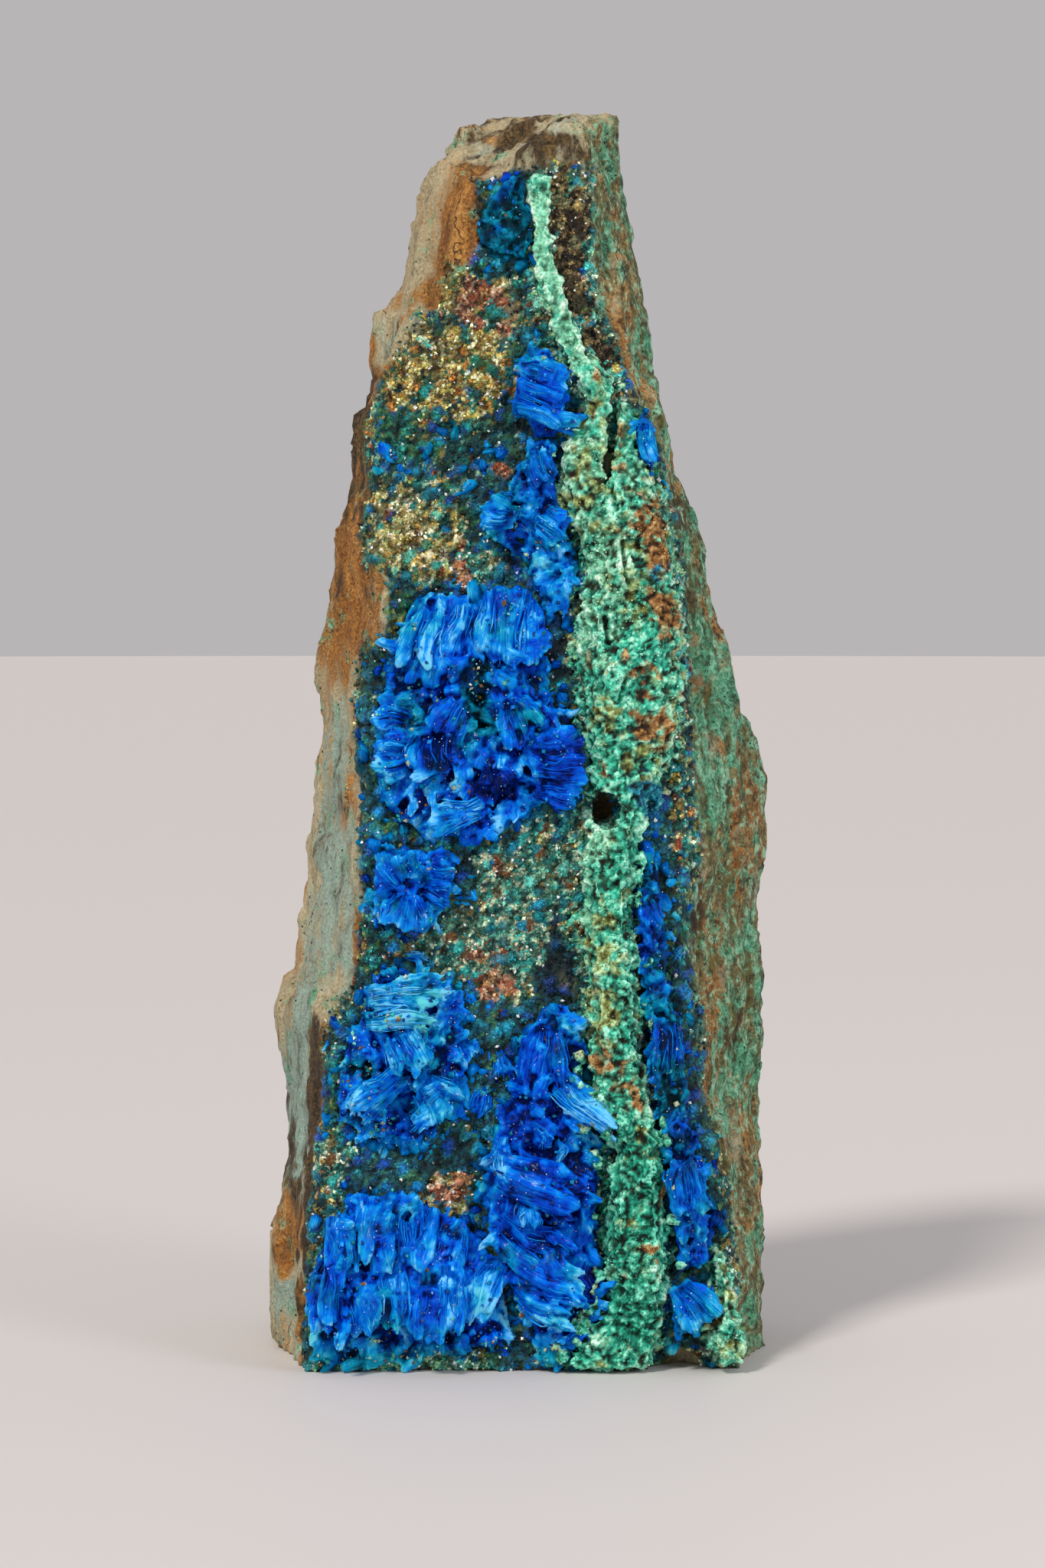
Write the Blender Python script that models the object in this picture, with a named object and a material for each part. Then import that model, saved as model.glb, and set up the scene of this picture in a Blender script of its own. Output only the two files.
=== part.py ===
"""Chalcanthite specimen: blue fibrous crystals and a green crust on an upright wedge of host rock.

Metres, +Z up. The face with the crystals looks along -Y. The origin is under the middle of the
specimen's bounding box, on the surface that it stands on.
"""

import math
import random
from collections import namedtuple

import bmesh
import bpy
from mathutils import Matrix, Vector, noise

MM = 0.001

# Driving dimensions of the whole specimen.
HEIGHT = 145 * MM
FRONT_Y_AT_BASE = -21 * MM
BACK_Y_AT_BASE = 21 * MM
FRONT_LEAN = 0.06
BACK_LEAN = 0.10
FIT_GAP = 0.3 * MM

# Outlines of the rock, seen from the front: (height, x) in millimetres.
LEFT_OUTLINE = (
    (0, -30.4), (7, -30.0), (11.6, -30.6), (16.3, -29.1), (22, -27.7), (28.6, -27.9),
    (39.9, -29.5), (45.6, -27.2), (61.5, -25.8), (73.7, -24.4), (80.2, -25.0), (95, -22.1),
    (104.5, -19.3), (113, -17.9), (118.3, -17.0), (123.2, -16.0), (125.4, -13.8),
    (130.5, -14.2), (134, -13.0), (137.3, -11.4), (140.6, -8.4), (143, -6.8), (145, -4.4),
)
RIGHT_OUTLINE = (
    (0, 27.4), (10.7, 28.2), (19.2, 27.9), (31.4, 28.1), (35.5, 29.6), (52.1, 28.8),
    (62.4, 30.6), (67.6, 29.8), (73.2, 27.4), (82.2, 24.4), (90.2, 21.8), (99.7, 19.6),
    (106.4, 19.0), (110.9, 16.4), (121.3, 14.7), (126.1, 14.5), (133.1, 12.6),
    (139, 11.5), (145, 10.9),
)
LEFT_FRONT_EDGE = (
    (0, -25.2), (7.6, -25.3), (18.3, -24.2), (26.4, -22.6), (36, -21.9), (44.2, -19.6),
    (56.3, -18.2), (64.2, -17.4), (78, -16.6), (87.5, -15.2), (95, -16.2), (108, -16.5),
    (112.7, -16.0), (118.6, -11.4), (122.1, -8.9), (128.3, -8.4), (135.6, -7.5), (145, -5.5),
)
RIGHT_FRONT_EDGE = (
    (0, 25.6), (8.2, 24.4), (16.9, 22.7), (25.7, 20.9), (30.1, 19.6), (40.6, 18.6),
    (52, 17.9), (80, 18.7), (87, 18.4), (94.1, 17.1), (100.2, 15.9), (108.1, 14.1),
    (113.4, 12.1), (122.1, 9.8), (130.9, 7.6), (145, 6.6),
)
# Depth of the rock's side corners: (height, y) in millimetres.
SIDE_Y = ((0, 6.5), (62, 4.0), (110, 1.5), (145, 0.5))
FRONT_RIGHT_SETBACK = 2.4 * MM
RIGHT_SETBACK = 1.5 * MM
BACK_CORNER_INSET = 5.5 * MM
FRONT_CROWN = Vector((0, -0.8)) * MM
BACK_CROWN = Vector((0, 2.2)) * MM
LEFT_FACE_BULGE = Vector((-0.8, 0.6)) * MM
RIGHT_FACE_BULGE = Vector((0.9, 0.4)) * MM

# The broken top slopes down from its rear crest to the front left.
TOP_WARP_START = 0.78
TOP_FRONT_DROP = 8.0 * MM
COLUMN_FRONT_DROP = 1.2 * MM
CREST_WEAR = 0.8 * MM

ROCK_CUTS = (9, 7, 33)
# Heights of extra rows of facets, for the ledge on the left shoulder, in millimetres.
LEDGE_ROWS = (125.2,)
CHIP_SIZE = Vector((9, 9, 24)) * MM
CHIP_DEPTH = 2.4 * MM
ROCK_ROUGHNESS = 1.4 * MM
KNOB_SIZE = 7 * MM
GROOVE_SIZE = Vector((3.4, 3.4, 17)) * MM
FRONT_STEADINESS = 0.85
OUTLINE_STEADINESS = 0.7
VEIN_RECESS = 1.0 * MM
VEIN_RIM = 1.0 * MM
VEIN_SLOPE = 3.0 * MM
VEIN_WAVE = 1.1 * MM
VEIN_WAVE_SIZE = 6 * MM

# Cracks, pits and partings: name, centre, size and tilt, in millimetres and degrees. A centre
# without a y lies on the front face.
HOLLOWS = (
    ("crack_upper", (7.5, None, 123), (0.9, 7, 17), 1),
    ("crack_lower", (10.0, None, 106), (1.9, 10, 15), 5),
    ("vug", (9.5, None, 64.6), (4.6, 11, 5.2), 0),
    ("foot_arch", (18.2, None, 0), (8.2, 16, 6.8), 0),
    ("side_pit", (29.2, 3.0, 38), (6, 9, 5.4), 20),
    ("parting_right", (24.6, -8.5, 30), (2.6, 2.2, 46), -4),
    ("parting_left", (-27.2, -9.0, 24), (2.8, 2.4, 40), 5),
    ("parting_shoulder", (-15.6, -7.0, 107), (2.4, 2.0, 26), 3),
)
FRONT_HOLLOWS = ("crack_upper", "crack_lower", "vug")

# Each crust lies on the rock's front face between two outlines.
# Rows are (height, left x, right x, how far it stands proud), in millimetres.
GREEN_RIB = (
    (0.7, 5.0, 14.0, 3.2), (4.5, 7.6, 15.4, 3.6), (8.5, 10.2, 16.2, 3.4), (13, 9.6, 16.6, 3.8),
    (20, 9.8, 16.2, 3.8), (25.6, 10.4, 15.9, 3.8), (29.5, 8.6, 15.0, 3.6), (36, 7.8, 13.8, 3.2),
    (43.2, 7.8, 13.4, 3.2), (54, 7.0, 12.4, 3.0), (62, 7.4, 13.4, 2.8), (66.5, 7.8, 15.2, 3.4),
    (73, 7.4, 17.2, 3.4), (80, 6.6, 18.2, 3.2), (87, 6.3, 17.9, 3.0), (92, 7.6, 17.2, 3.0),
    (97, 6.0, 16.2, 2.8), (101, 4.6, 14.8, 2.6), (106, 4.4, 13.2, 2.2), (110, 8.0, 11.6, 2.0),
    (114, 6.2, 10.0, 1.8), (118, 3.8, 7.0, 1.6), (121.4, 2.7, 5.6, 1.8), (126, 1.6, 4.0, 1.6),
    (132, 1.0, 3.0, 1.4), (137.3, 0.9, 3.4, 1.2),
)
GREEN_FOOT = (
    (1.2, 22.3, 25.2, 1.6), (5, 21.2, 25.0, 2.4), (9, 22.4, 24.4, 2.2), (13.5, 21.9, 23.0, 1.4),
)
BLUE_TOP = (
    (127.6, -3.6, 0.4, 1.4), (130.5, -5.1, 0.7, 1.8), (133.5, -4.4, 0.6, 1.8),
    (137.1, -1.6, 0.3, 1.2),
)
BLUE_TUFT = (
    (107.0, 1.6, 3.6, 1.1), (109.5, 0.6, 5.4, 1.9), (112.5, 0.2, 4.4, 2.0), (115.4, -0.8, 4.0, 1.9),
    (117.3, 0.8, 3.2, 1.1),
)
BLUE_SEAM = (
    (87.2, 2.6, 5.4, 1.2), (90, 1.6, 5.6, 1.4), (93, 0.6, 6.6, 1.8), (95.6, -4.6, 5.2, 1.9),
    (98.2, -4.2, 4.6, 2.0), (100.8, -1.8, 3.8, 1.9), (103.6, 0.0, 3.8, 1.6), (106.6, 0.8, 3.4, 1.1),
)
BLUE_MAIN = (
    (61.2, -10.4, -4.6, 1.5), (64, -15.4, 0.6, 2.3), (67, -16.8, 5.6, 2.9), (70, -17.2, 6.8, 3.1),
    (73.5, -16.8, 4.6, 3.0), (77.8, -16.4, 3.4, 2.6), (81.5, -14.8, 2.4, 2.2), (85.5, -13.4, 1.8, 2.2),
    (88.6, -10.6, 0.4, 1.5),
)
BLUE_LEFT = (
    (50.2, -14.0, -11.0, 1.4), (53, -16.9, -8.6, 2.2), (56, -17.4, -7.4, 2.6), (59.9, -16.6, -8.4, 1.6),
)
BLUE_LOWER_LEFT = (
    (26.0, -16.0, -12.2, 1.4), (28.5, -20.8, -9.8, 2.0), (32, -21.4, -7.2, 2.6), (36, -21.0, -7.0, 2.6),
    (40, -18.6, -7.0, 2.6), (43, -17.8, -6.6, 2.3), (45.7, -16.6, -10.4, 1.4),
)
BLUE_FAN = (
    (0.9, 2.6, 4.4, 1.4), (4.0, 1.6, 7.0, 2.4), (8.4, -0.6, 9.4, 2.9), (13, -2.4, 8.9, 3.1),
    (19, -4.2, 8.4, 3.1), (24, -4.0, 8.8, 2.9), (28.4, -2.6, 7.9, 2.6), (33, -0.6, 6.8, 2.2),
    (38, 0.4, 6.9, 1.9), (42.0, 2.4, 5.2, 1.2),
)
BLUE_BASE = (
    (0.6, -23.0, -18.4, 1.4), (3.4, -24.6, -0.6, 2.2), (8.0, -24.8, -2.2, 2.7), (12.4, -24.2, -3.6, 2.9),
    (16.4, -22.2, -6.0, 2.4), (20.2, -19.4, -13.4, 1.4),
)
BLUE_RIGHT_TUFT = (
    (102.9, 13.9, 14.8, 1.2), (105.5, 13.8, 15.4, 1.8), (108.8, 12.2, 14.0, 1.4),
)
BLUE_RIGHT_SEAM = (
    (11.9, 18.4, 20.6, 1.6), (16, 17.4, 21.0, 2.4), (22, 16.9, 20.8, 2.6), (26, 16.6, 19.9, 2.4),
    (31, 15.6, 18.2, 2.4), (36, 14.6, 18.4, 2.4), (40, 14.3, 17.9, 2.2), (44, 14.1, 16.6, 1.8),
    (50, 13.4, 16.4, 1.8), (55, 13.0, 15.9, 1.8), (60.8, 13.3, 14.8, 1.4),
)
BLUE_RIGHT_FOOT = (
    (4.4, 17.2, 20.6, 1.6), (7, 17.0, 21.4, 2.6), (9.7, 17.8, 20.6, 1.6),
)

# A spray is a bundle of fibres that grow side by side from a short root line and fan out.
# x, z: middle of the root line. heading: the way it grows in the front plane, 0 to the right
# and 90 up. span: length of the root line. spread: angle between its outer fibres. lift: angle
# out of the front plane. curl: how far the heading turns along a fibre. Millimetres and degrees.
Spray = namedtuple("Spray", "x z heading length span spread lift curl")
TUFT_SPRAYS = (
    Spray(0.2, 113.0, -10, 6.0, 7.0, 8, 16, -12),
    Spray(1.6, 109.2, -2, 6.2, 1.8, 6, 12, 0),
)
SEAM_SPRAYS = (
    Spray(1.8, 104.6, -70, 3.6, 2.6, 30, 30, 10),
    Spray(-1.6, 98.0, 165, 3.6, 3.0, 40, 30, 0),
    Spray(2.6, 97.6, -35, 3.8, 3.0, 40, 30, 0),
)
MAIN_SPRAYS = (
    Spray(-9.4, 87.2, -101, 8.4, 6.6, 22, 20, -6),
    Spray(-1.6, 88.4, -87, 8.6, 5.6, 14, 20, 5),
    Spray(-13.4, 75.0, 158, 4.4, 3.4, 34, 26, 12),
    Spray(-13.6, 70.4, 184, 4.6, 3.4, 34, 26, -8),
    Spray(2.2, 70.6, -4, 6.0, 4.6, 26, 24, 12),
    Spray(2.4, 67.2, -18, 5.2, 2.8, 22, 24, 10),
    Spray(-5.6, 64.4, 192, 6.0, 2.6, 16, 22, 10),
    Spray(-7.2, 76.0, -128, 5.2, 4.0, 40, 34, 10),
    Spray(-1.2, 76.4, -58, 5.4, 4.0, 40, 34, -10),
    Spray(-10.6, 72.4, -95, 4.8, 4.0, 40, 34, 0),
)
LEFT_SPRAYS = (
    Spray(-13.6, 57.0, 118, 3.4, 3.4, 60, 40, 0),
    Spray(-13.0, 54.0, -100, 4.0, 4.0, 60, 36, 0),
    Spray(-10.4, 56.0, -8, 3.2, 3.4, 46, 36, 0),
)
LOWER_LEFT_SPRAYS = (
    Spray(-17.2, 43.2, 9, 10.0, 2.4, 6, 14, -8),
    Spray(-17.4, 40.6, 2, 8.4, 2.0, 6, 16, -4),
    Spray(-14.6, 34.0, 216, 7.6, 3.4, 14, 22, 8),
    Spray(-10.8, 33.0, -38, 5.4, 3.6, 34, 26, -8),
    Spray(-14.0, 38.4, -62, 4.8, 4.0, 34, 30, 0),
)
FAN_SPRAYS = (
    Spray(5.4, 32.4, -40, 10.0, 3.4, 8, 18, 10),
    Spray(-1.6, 23.0, -6, 9.8, 5.0, 16, 24, -22),
    Spray(-2.0, 16.6, -34, 9.8, 4.2, 14, 26, 14),
    Spray(0.6, 11.4, 10, 8.4, 3.2, 12, 28, -34),
    Spray(0.2, 9.4, -28, 8.6, 3.0, 12, 26, 22),
    Spray(-2.2, 26.6, -110, 6.2, 1.0, 4, 26, 40),
    Spray(1.4, 28.6, -8, 3.8, 1.2, 6, 26, -80),
    Spray(2.6, 38.8, -92, 7.0, 3.8, 18, 18, 0),
)
BASE_SPRAYS = (
    Spray(-20.8, 17.2, -86, 6.6, 3.6, 12, 24, 0),
    Spray(-16.8, 19.4, -90, 7.2, 3.6, 12, 26, 0),
    Spray(-12.8, 17.8, -90, 6.8, 3.6, 12, 26, 0),
    Spray(-8.6, 16.4, -96, 6.4, 3.8, 14, 26, 0),
    Spray(-22.0, 10.6, -92, 6.2, 3.8, 16, 24, 0),
    Spray(-16.0, 11.0, -84, 6.4, 5.4, 20, 28, 0),
    Spray(-9.4, 10.4, -92, 6.4, 5.0, 20, 26, 0),
    Spray(-3.6, 12.4, -112, 7.6, 4.2, 18, 28, -12),
)
RIGHT_TUFT_SPRAYS = (Spray(14.0, 108.0, -82, 4.6, 1.6, 10, 14, 0),)
RIGHT_SEAM_SPRAYS = (
    Spray(16.6, 39.6, -86, 6.4, 2.6, 14, 14, 0),
    Spray(18.2, 23.6, -84, 6.0, 2.8, 14, 14, 0),
    Spray(14.4, 53.6, -70, 3.0, 1.8, 20, 20, 0),
)
RIGHT_FOOT_SPRAYS = (Spray(18.4, 9.4, -58, 5.0, 3.2, 30, 22, 0),)

# Shares of a ridge's pitch or length, except where a size is given.
RIDGES = 3
RIDGE_HEIGHT = 0.75
VALLEY_HEIGHT = 0.2
VALLEY_REACH = 0.8
TIP_THINNING = 0.45
SPRAY_ROOT = 1.0 * MM
SPRAY_SINK = 0.9 * MM
SINK_LOSS = 0.7
CURLED_RINGS = 3
SLIGHT_CURL = 15
NARROW_SPRAY = 1.5
LOWEST_ROOT = 1.2
KEPT_FACETS = 0.66

LUMP_HEIGHT = 3.2 * MM
THINNEST_CRUST = 0.9 * MM
CRUST_ROOT = 2.5 * MM
OUTLINE_JOG = 0.5 * MM
FOOT_CLEARANCE = 0.4 * MM
SLAB = Vector((100, 100, 10)) * MM

# A crust's face is the size of its facets and lump the size of its lumps, in millimetres.
Crust = namedtuple("Crust", "rows face lump sprays")
# Crusts that have grown together are one solid.
GREEN_MASSES = {
    "green_rib": (Crust(GREEN_RIB, 2.4, 4.2, ()),),
    "green_foot": (Crust(GREEN_FOOT, 1.8, 2.2, ()),),
}
BLUE_MASSES = {
    "chalcanthite_top": (Crust(BLUE_TOP, 1.6, 2.2, ()),),
    "chalcanthite_upper_tuft": (Crust(BLUE_TUFT, 2.2, 2.2, TUFT_SPRAYS),),
    "chalcanthite_upper_seam": (Crust(BLUE_SEAM, 2.0, 2.2, SEAM_SPRAYS),),
    "chalcanthite_main": (Crust(BLUE_MAIN, 3.0, 2.6, MAIN_SPRAYS),),
    "chalcanthite_left": (Crust(BLUE_LEFT, 2.2, 2.4, LEFT_SPRAYS),),
    "chalcanthite_lower_left": (Crust(BLUE_LOWER_LEFT, 3.0, 2.6, LOWER_LEFT_SPRAYS),),
    "chalcanthite_lower": (
        Crust(BLUE_FAN, 3.2, 2.8, FAN_SPRAYS),
        Crust(BLUE_BASE, 3.2, 2.8, BASE_SPRAYS),
    ),
    "chalcanthite_right_tuft": (Crust(BLUE_RIGHT_TUFT, 1.6, 2.0, RIGHT_TUFT_SPRAYS),),
    "chalcanthite_right_seam": (Crust(BLUE_RIGHT_SEAM, 2.2, 2.2, RIGHT_SEAM_SPRAYS),),
    "chalcanthite_right_foot": (Crust(BLUE_RIGHT_FOOT, 1.8, 2.2, RIGHT_FOOT_SPRAYS),),
}

ROCK_COLOUR = (0.36, 0.27, 0.16)
GREEN_COLOUR = (0.22, 0.55, 0.36)
BLUE_COLOUR = (0.01, 0.13, 0.58)


def along(rows, height, column=1):
    """The value in a column of rows at a height, joined by straight lines. All in millimetres."""
    if height <= rows[0][0]:
        return rows[0][column]
    for low, high in zip(rows, rows[1:]):
        if height <= high[0]:
            share = (height - low[0]) / (high[0] - low[0])
            return low[column] + share * (high[column] - low[column])
    return rows[-1][column]


def worn(rows, level):
    """An outline's x in metres with its ledges worn off, for the corners at the back."""
    return MM * sum(along(rows, level + step) for step in (-9, -3, 3, 9)) / 4


def smooth_step(start, end, value):
    """0 below start, 1 above end and a smooth rise between them."""
    share = min(1.0, max(0.0, (value - start) / (end - start)))
    return share * share * (3 - 2 * share)


def block_grid(cuts, extra_rows=()):
    """A closed cube from -1 to 1 on each axis, cut into rows of faces. extra_rows are more up w."""
    bm = bmesh.new()
    bmesh.ops.create_cube(bm, size=2.0)
    for axis, count in enumerate(cuts):
        normal = Vector((0, 0, 0))
        normal[axis] = 1
        rows = [2 * row / count - 1 for row in range(1, count)]
        if axis == 2:
            rows.extend(extra_rows)
        for row in rows:
            everything = bm.verts[:] + bm.edges[:] + bm.faces[:]
            bmesh.ops.bisect_plane(bm, geom=everything, plane_co=normal * row, plane_no=normal)
    return bm


def new_material(name, colour, roughness):
    material = bpy.data.materials.new(name)
    material.use_nodes = True
    shader = material.node_tree.nodes["Principled BSDF"]
    shader.inputs["Base Color"].default_value = (*colour, 1)
    shader.inputs["Roughness"].default_value = roughness
    shader.inputs["Metallic"].default_value = 0
    material.diffuse_color = (*colour, 1)
    return material


def new_object(name, bm, collection, material=None):
    """An object from bm, facing out, and in triangles so that its copies bend the same way."""
    bmesh.ops.recalc_face_normals(bm, faces=bm.faces[:])
    if bm.calc_volume(signed=True) < 0:
        bmesh.ops.reverse_faces(bm, faces=bm.faces[:])
    bmesh.ops.triangulate(bm, faces=bm.faces[:])
    mesh = bpy.data.meshes.new(name)
    bm.to_mesh(mesh)
    bm.free()
    obj = bpy.data.objects.new(name, mesh)
    collection.objects.link(obj)
    if material:
        mesh.materials.append(material)
    return obj


def new_cutter(name, bm, collection):
    obj = new_object(name, bm, collection)
    obj.hide_render = True
    obj.display_type = "WIRE"
    return obj


def add_boolean(obj, other, operation, solver="EXACT"):
    modifier = obj.modifiers.new(f"{operation.lower()} {other.name}", "BOOLEAN")
    modifier.operation = operation
    modifier.object = other
    modifier.solver = solver


def apply_modifiers(obj):
    bpy.context.view_layer.update()
    graph = bpy.context.evaluated_depsgraph_get()
    obj.data = bpy.data.meshes.new_from_object(obj.evaluated_get(graph))
    obj.modifiers.clear()


def lean_front(height):
    """The y of the leaning front face at a height, in metres."""
    return FRONT_Y_AT_BASE + FRONT_LEAN * height


def lean_back(height):
    return BACK_Y_AT_BASE - BACK_LEAN * height


def front_relief(x, height):
    """How far the front face stands back from its plane, in metres: the vein is a shallow trough."""
    level = height / MM
    left = along(LEFT_FRONT_EDGE, level) * MM
    right = along(GREEN_RIB, level, 1) * MM
    inside = smooth_step(left + VEIN_RIM, left + VEIN_RIM + VEIN_SLOPE, x)
    inside *= smooth_step(right, right - VEIN_SLOPE, x)
    wave = noise.fractal(Vector((x, 0, height)) / VEIN_WAVE_SIZE, 0.9, 2.0, 3)
    return VEIN_RECESS * inside + VEIN_WAVE * wave


def front_bed(x, height):
    """The y of the rock's front face, troughs and waves included."""
    return lean_front(height) + front_relief(x, height)


def chain(*points):
    """A function from 0 to 1 along straight lines from point to point."""
    def at(share):
        scaled = share * (len(points) - 1)
        index = min(int(scaled), len(points) - 2)
        return points[index].lerp(points[index + 1], scaled - index)

    return at


def section_edges(height):
    """The four edges of the rock's section at a height: front, back, left and right."""
    level = height / MM
    side_y = along(SIDE_Y, level) * MM
    front_y, back_y = lean_front(height), lean_back(height)
    front_left = Vector((along(LEFT_FRONT_EDGE, level) * MM, front_y))
    front_right = Vector((along(RIGHT_FRONT_EDGE, level) * MM, front_y + FRONT_RIGHT_SETBACK))
    left = Vector((along(LEFT_OUTLINE, level) * MM, side_y))
    right = Vector((along(RIGHT_OUTLINE, level) * MM, side_y + RIGHT_SETBACK))
    back_left = Vector((worn(LEFT_OUTLINE, level) + BACK_CORNER_INSET, back_y))
    back_right = Vector((worn(RIGHT_OUTLINE, level) - BACK_CORNER_INSET, back_y - RIGHT_SETBACK))
    return (
        chain(front_left, front_left.lerp(front_right, 0.5) + FRONT_CROWN, front_right),
        chain(back_left, back_left.lerp(back_right, 0.5) + BACK_CROWN, back_right),
        chain(front_left, front_left.lerp(left, 0.45) + LEFT_FACE_BULGE, left, back_left),
        chain(front_right, front_right.lerp(right, 0.45) + RIGHT_FACE_BULGE, right, back_right),
    )


def section_point(across, deep, height):
    """A point of the rock's section: across runs from left to right and deep from front to back."""
    front, back, left, right = section_edges(height)
    ruled_1 = front(across) * (1 - deep) + back(across) * deep
    ruled_2 = left(deep) * (1 - across) + right(deep) * across
    corners = front(0) * (1 - across) * (1 - deep) + front(1) * across * (1 - deep)
    corners += back(0) * (1 - across) * deep + back(1) * across * deep
    return ruled_1 + ruled_2 - corners


def top_wear(flat, up):
    """How far the broken top lies below a level cut at a place of the section."""
    left_side = smooth_step(4 * MM, -2 * MM, flat.x)
    front_side = smooth_step(3 * MM, -12 * MM, flat.y)
    crumble = abs(noise.fractal(Vector((flat.x, flat.y, 0)) / (5 * MM), 0.9, 2.0, 3))
    drop = (COLUMN_FRONT_DROP + (TOP_FRONT_DROP - COLUMN_FRONT_DROP) * left_side) * front_side
    drop += CREST_WEAR * crumble
    return drop * smooth_step(TOP_WARP_START, 1.0, up)


def per_axis(place, sizes):
    return Vector(length / size for length, size in zip(place, sizes))


def rock_relief(place, deep):
    """How far the broken faces stand out, in metres: chipped ledges and upright grooves."""
    cell = noise.voronoi(per_axis(place, CHIP_SIZE))[1][0]
    chip = CHIP_DEPTH * noise.noise(cell * 3.7)
    grooves = noise.fractal(per_axis(place, GROOVE_SIZE), 0.9, 2.0, 2)
    knobs = noise.fractal(place / KNOB_SIZE, 0.8, 2.1, 3)
    on_outline = math.exp(-((deep - 2 / 3) / 0.12) ** 2)
    return (chip + ROCK_ROUGHNESS * (knobs + grooves) / 2) * (1 - OUTLINE_STEADINESS * on_outline)


def rock_point(u, v, w):
    """Carries a point of the cube grid onto the rock."""
    across, deep, up = (u + 1) / 2, (v + 1) / 2, (w + 1) / 2
    level = up * HEIGHT
    height = level - top_wear(section_point(across, deep, level), up)
    flat = section_point(across, deep, height)
    middle = section_point(0.5, 0.5, height)
    outward = (flat - middle).normalized() if (flat - middle).length > MM else Vector((0, 0))
    on_front = smooth_step(0.25, 0, deep) * smooth_step(0, 0.06, across) * smooth_step(1, 0.94, across)
    relief = rock_relief(Vector((*flat, height)), deep)
    flat += outward * relief * (1 - FRONT_STEADINESS * on_front)
    flat.y += on_front * front_relief(flat.x, height)
    return Vector((*flat, height))


def make_rock(collection, material):
    bm = block_grid(ROCK_CUTS, [2 * row * MM / HEIGHT - 1 for row in LEDGE_ROWS])
    for vert in bm.verts:
        vert.co = rock_point(*vert.co)
    return new_object("matrix_rock", bm, collection, material)


def wedge(centre, size, tilt):
    """An upright cutter with a diamond section, pointed at both ends. Millimetres and degrees."""
    bm = bmesh.new()
    bmesh.ops.create_uvsphere(bm, u_segments=6, v_segments=5, radius=1)
    bmesh.ops.scale(bm, verts=bm.verts, vec=Vector(size) * MM / 2)
    bmesh.ops.rotate(bm, verts=bm.verts, matrix=Matrix.Rotation(math.radians(tilt), 3, "Y"))
    bmesh.ops.translate(bm, verts=bm.verts, vec=Vector(centre) * MM)
    return bm


def make_hollows(collection):
    """Cutters for the hollows, by name: each is centred at (x, height) and sunk into its face."""
    cutters = {}
    for name, (x, y, level), size, tilt in HOLLOWS:
        bed = lean_front(level * MM) / MM if y is None else y
        cutters[name] = new_cutter(name, wedge((x, bed, level), size, tilt), collection)
    return cutters


def ripple(x, height, size):
    """A repeatable wave between about -1 and 1 over the front plane."""
    return noise.noise(Vector((x, 0.37 * size, height)) / size)


def crust_stand(crust, x, level):
    """How far a crust's surface stands out of the rock at a place on the front, in metres."""
    rows = crust.rows
    left, right = along(rows, level, 1), along(rows, level, 2)
    across = min(1.0, abs(2 * (x - left) / (right - left) - 1))
    up = min(1.0, abs(2 * (level - rows[0][0]) / (rows[-1][0] - rows[0][0]) - 1))
    rim = math.sqrt((1 - across ** 4) * (1 - up ** 8))
    nearest = noise.voronoi(Vector((x, 0, level)) / crust.lump)[0][0]
    bumps = (0.45 - nearest) * LUMP_HEIGHT * min(1.0, 0.25 + rim)
    return max(MM * along(rows, level, 3) * (0.35 + 0.65 * rim) + bumps, THINNEST_CRUST)


def crust_point(crust, u, v, w):
    """Carries a point of the cube grid onto a crust that lies on the front face."""
    rows = crust.rows
    level = rows[0][0] + (rows[-1][0] - rows[0][0]) * (w + 1) / 2
    left, right = along(rows, level, 1), along(rows, level, 2)
    x = left + (right - left) * (u + 1) / 2
    bed = front_bed(x * MM, level * MM)
    if v > 0:
        return Vector((x * MM, bed + CRUST_ROOT, level * MM))
    stand = crust_stand(crust, x, level)
    side_step = ripple(x, level, 1.7) * OUTLINE_JOG
    rise = ripple(level, x, 1.9) * OUTLINE_JOG if abs(w) < 1 else 0
    return Vector((x * MM + side_step, bed - stand, level * MM + rise))


def crust_grid(crust):
    """The crust as a closed block between its two outlines, lumpy on the outside."""
    rows = crust.rows
    tall = rows[-1][0] - rows[0][0]
    wide = max(row[2] - row[1] for row in rows)
    cuts = (max(3, round(wide / crust.face)), 1, max(3, round(tall / crust.face)))
    bm = block_grid(cuts)
    for vert in bm.verts:
        vert.co = crust_point(crust, *vert.co)
    return bm


def turned(degrees):
    """The direction in the front plane at an angle from +X towards +Z."""
    return Vector((math.cos(math.radians(degrees)), 0, math.sin(math.radians(degrees))))


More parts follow.
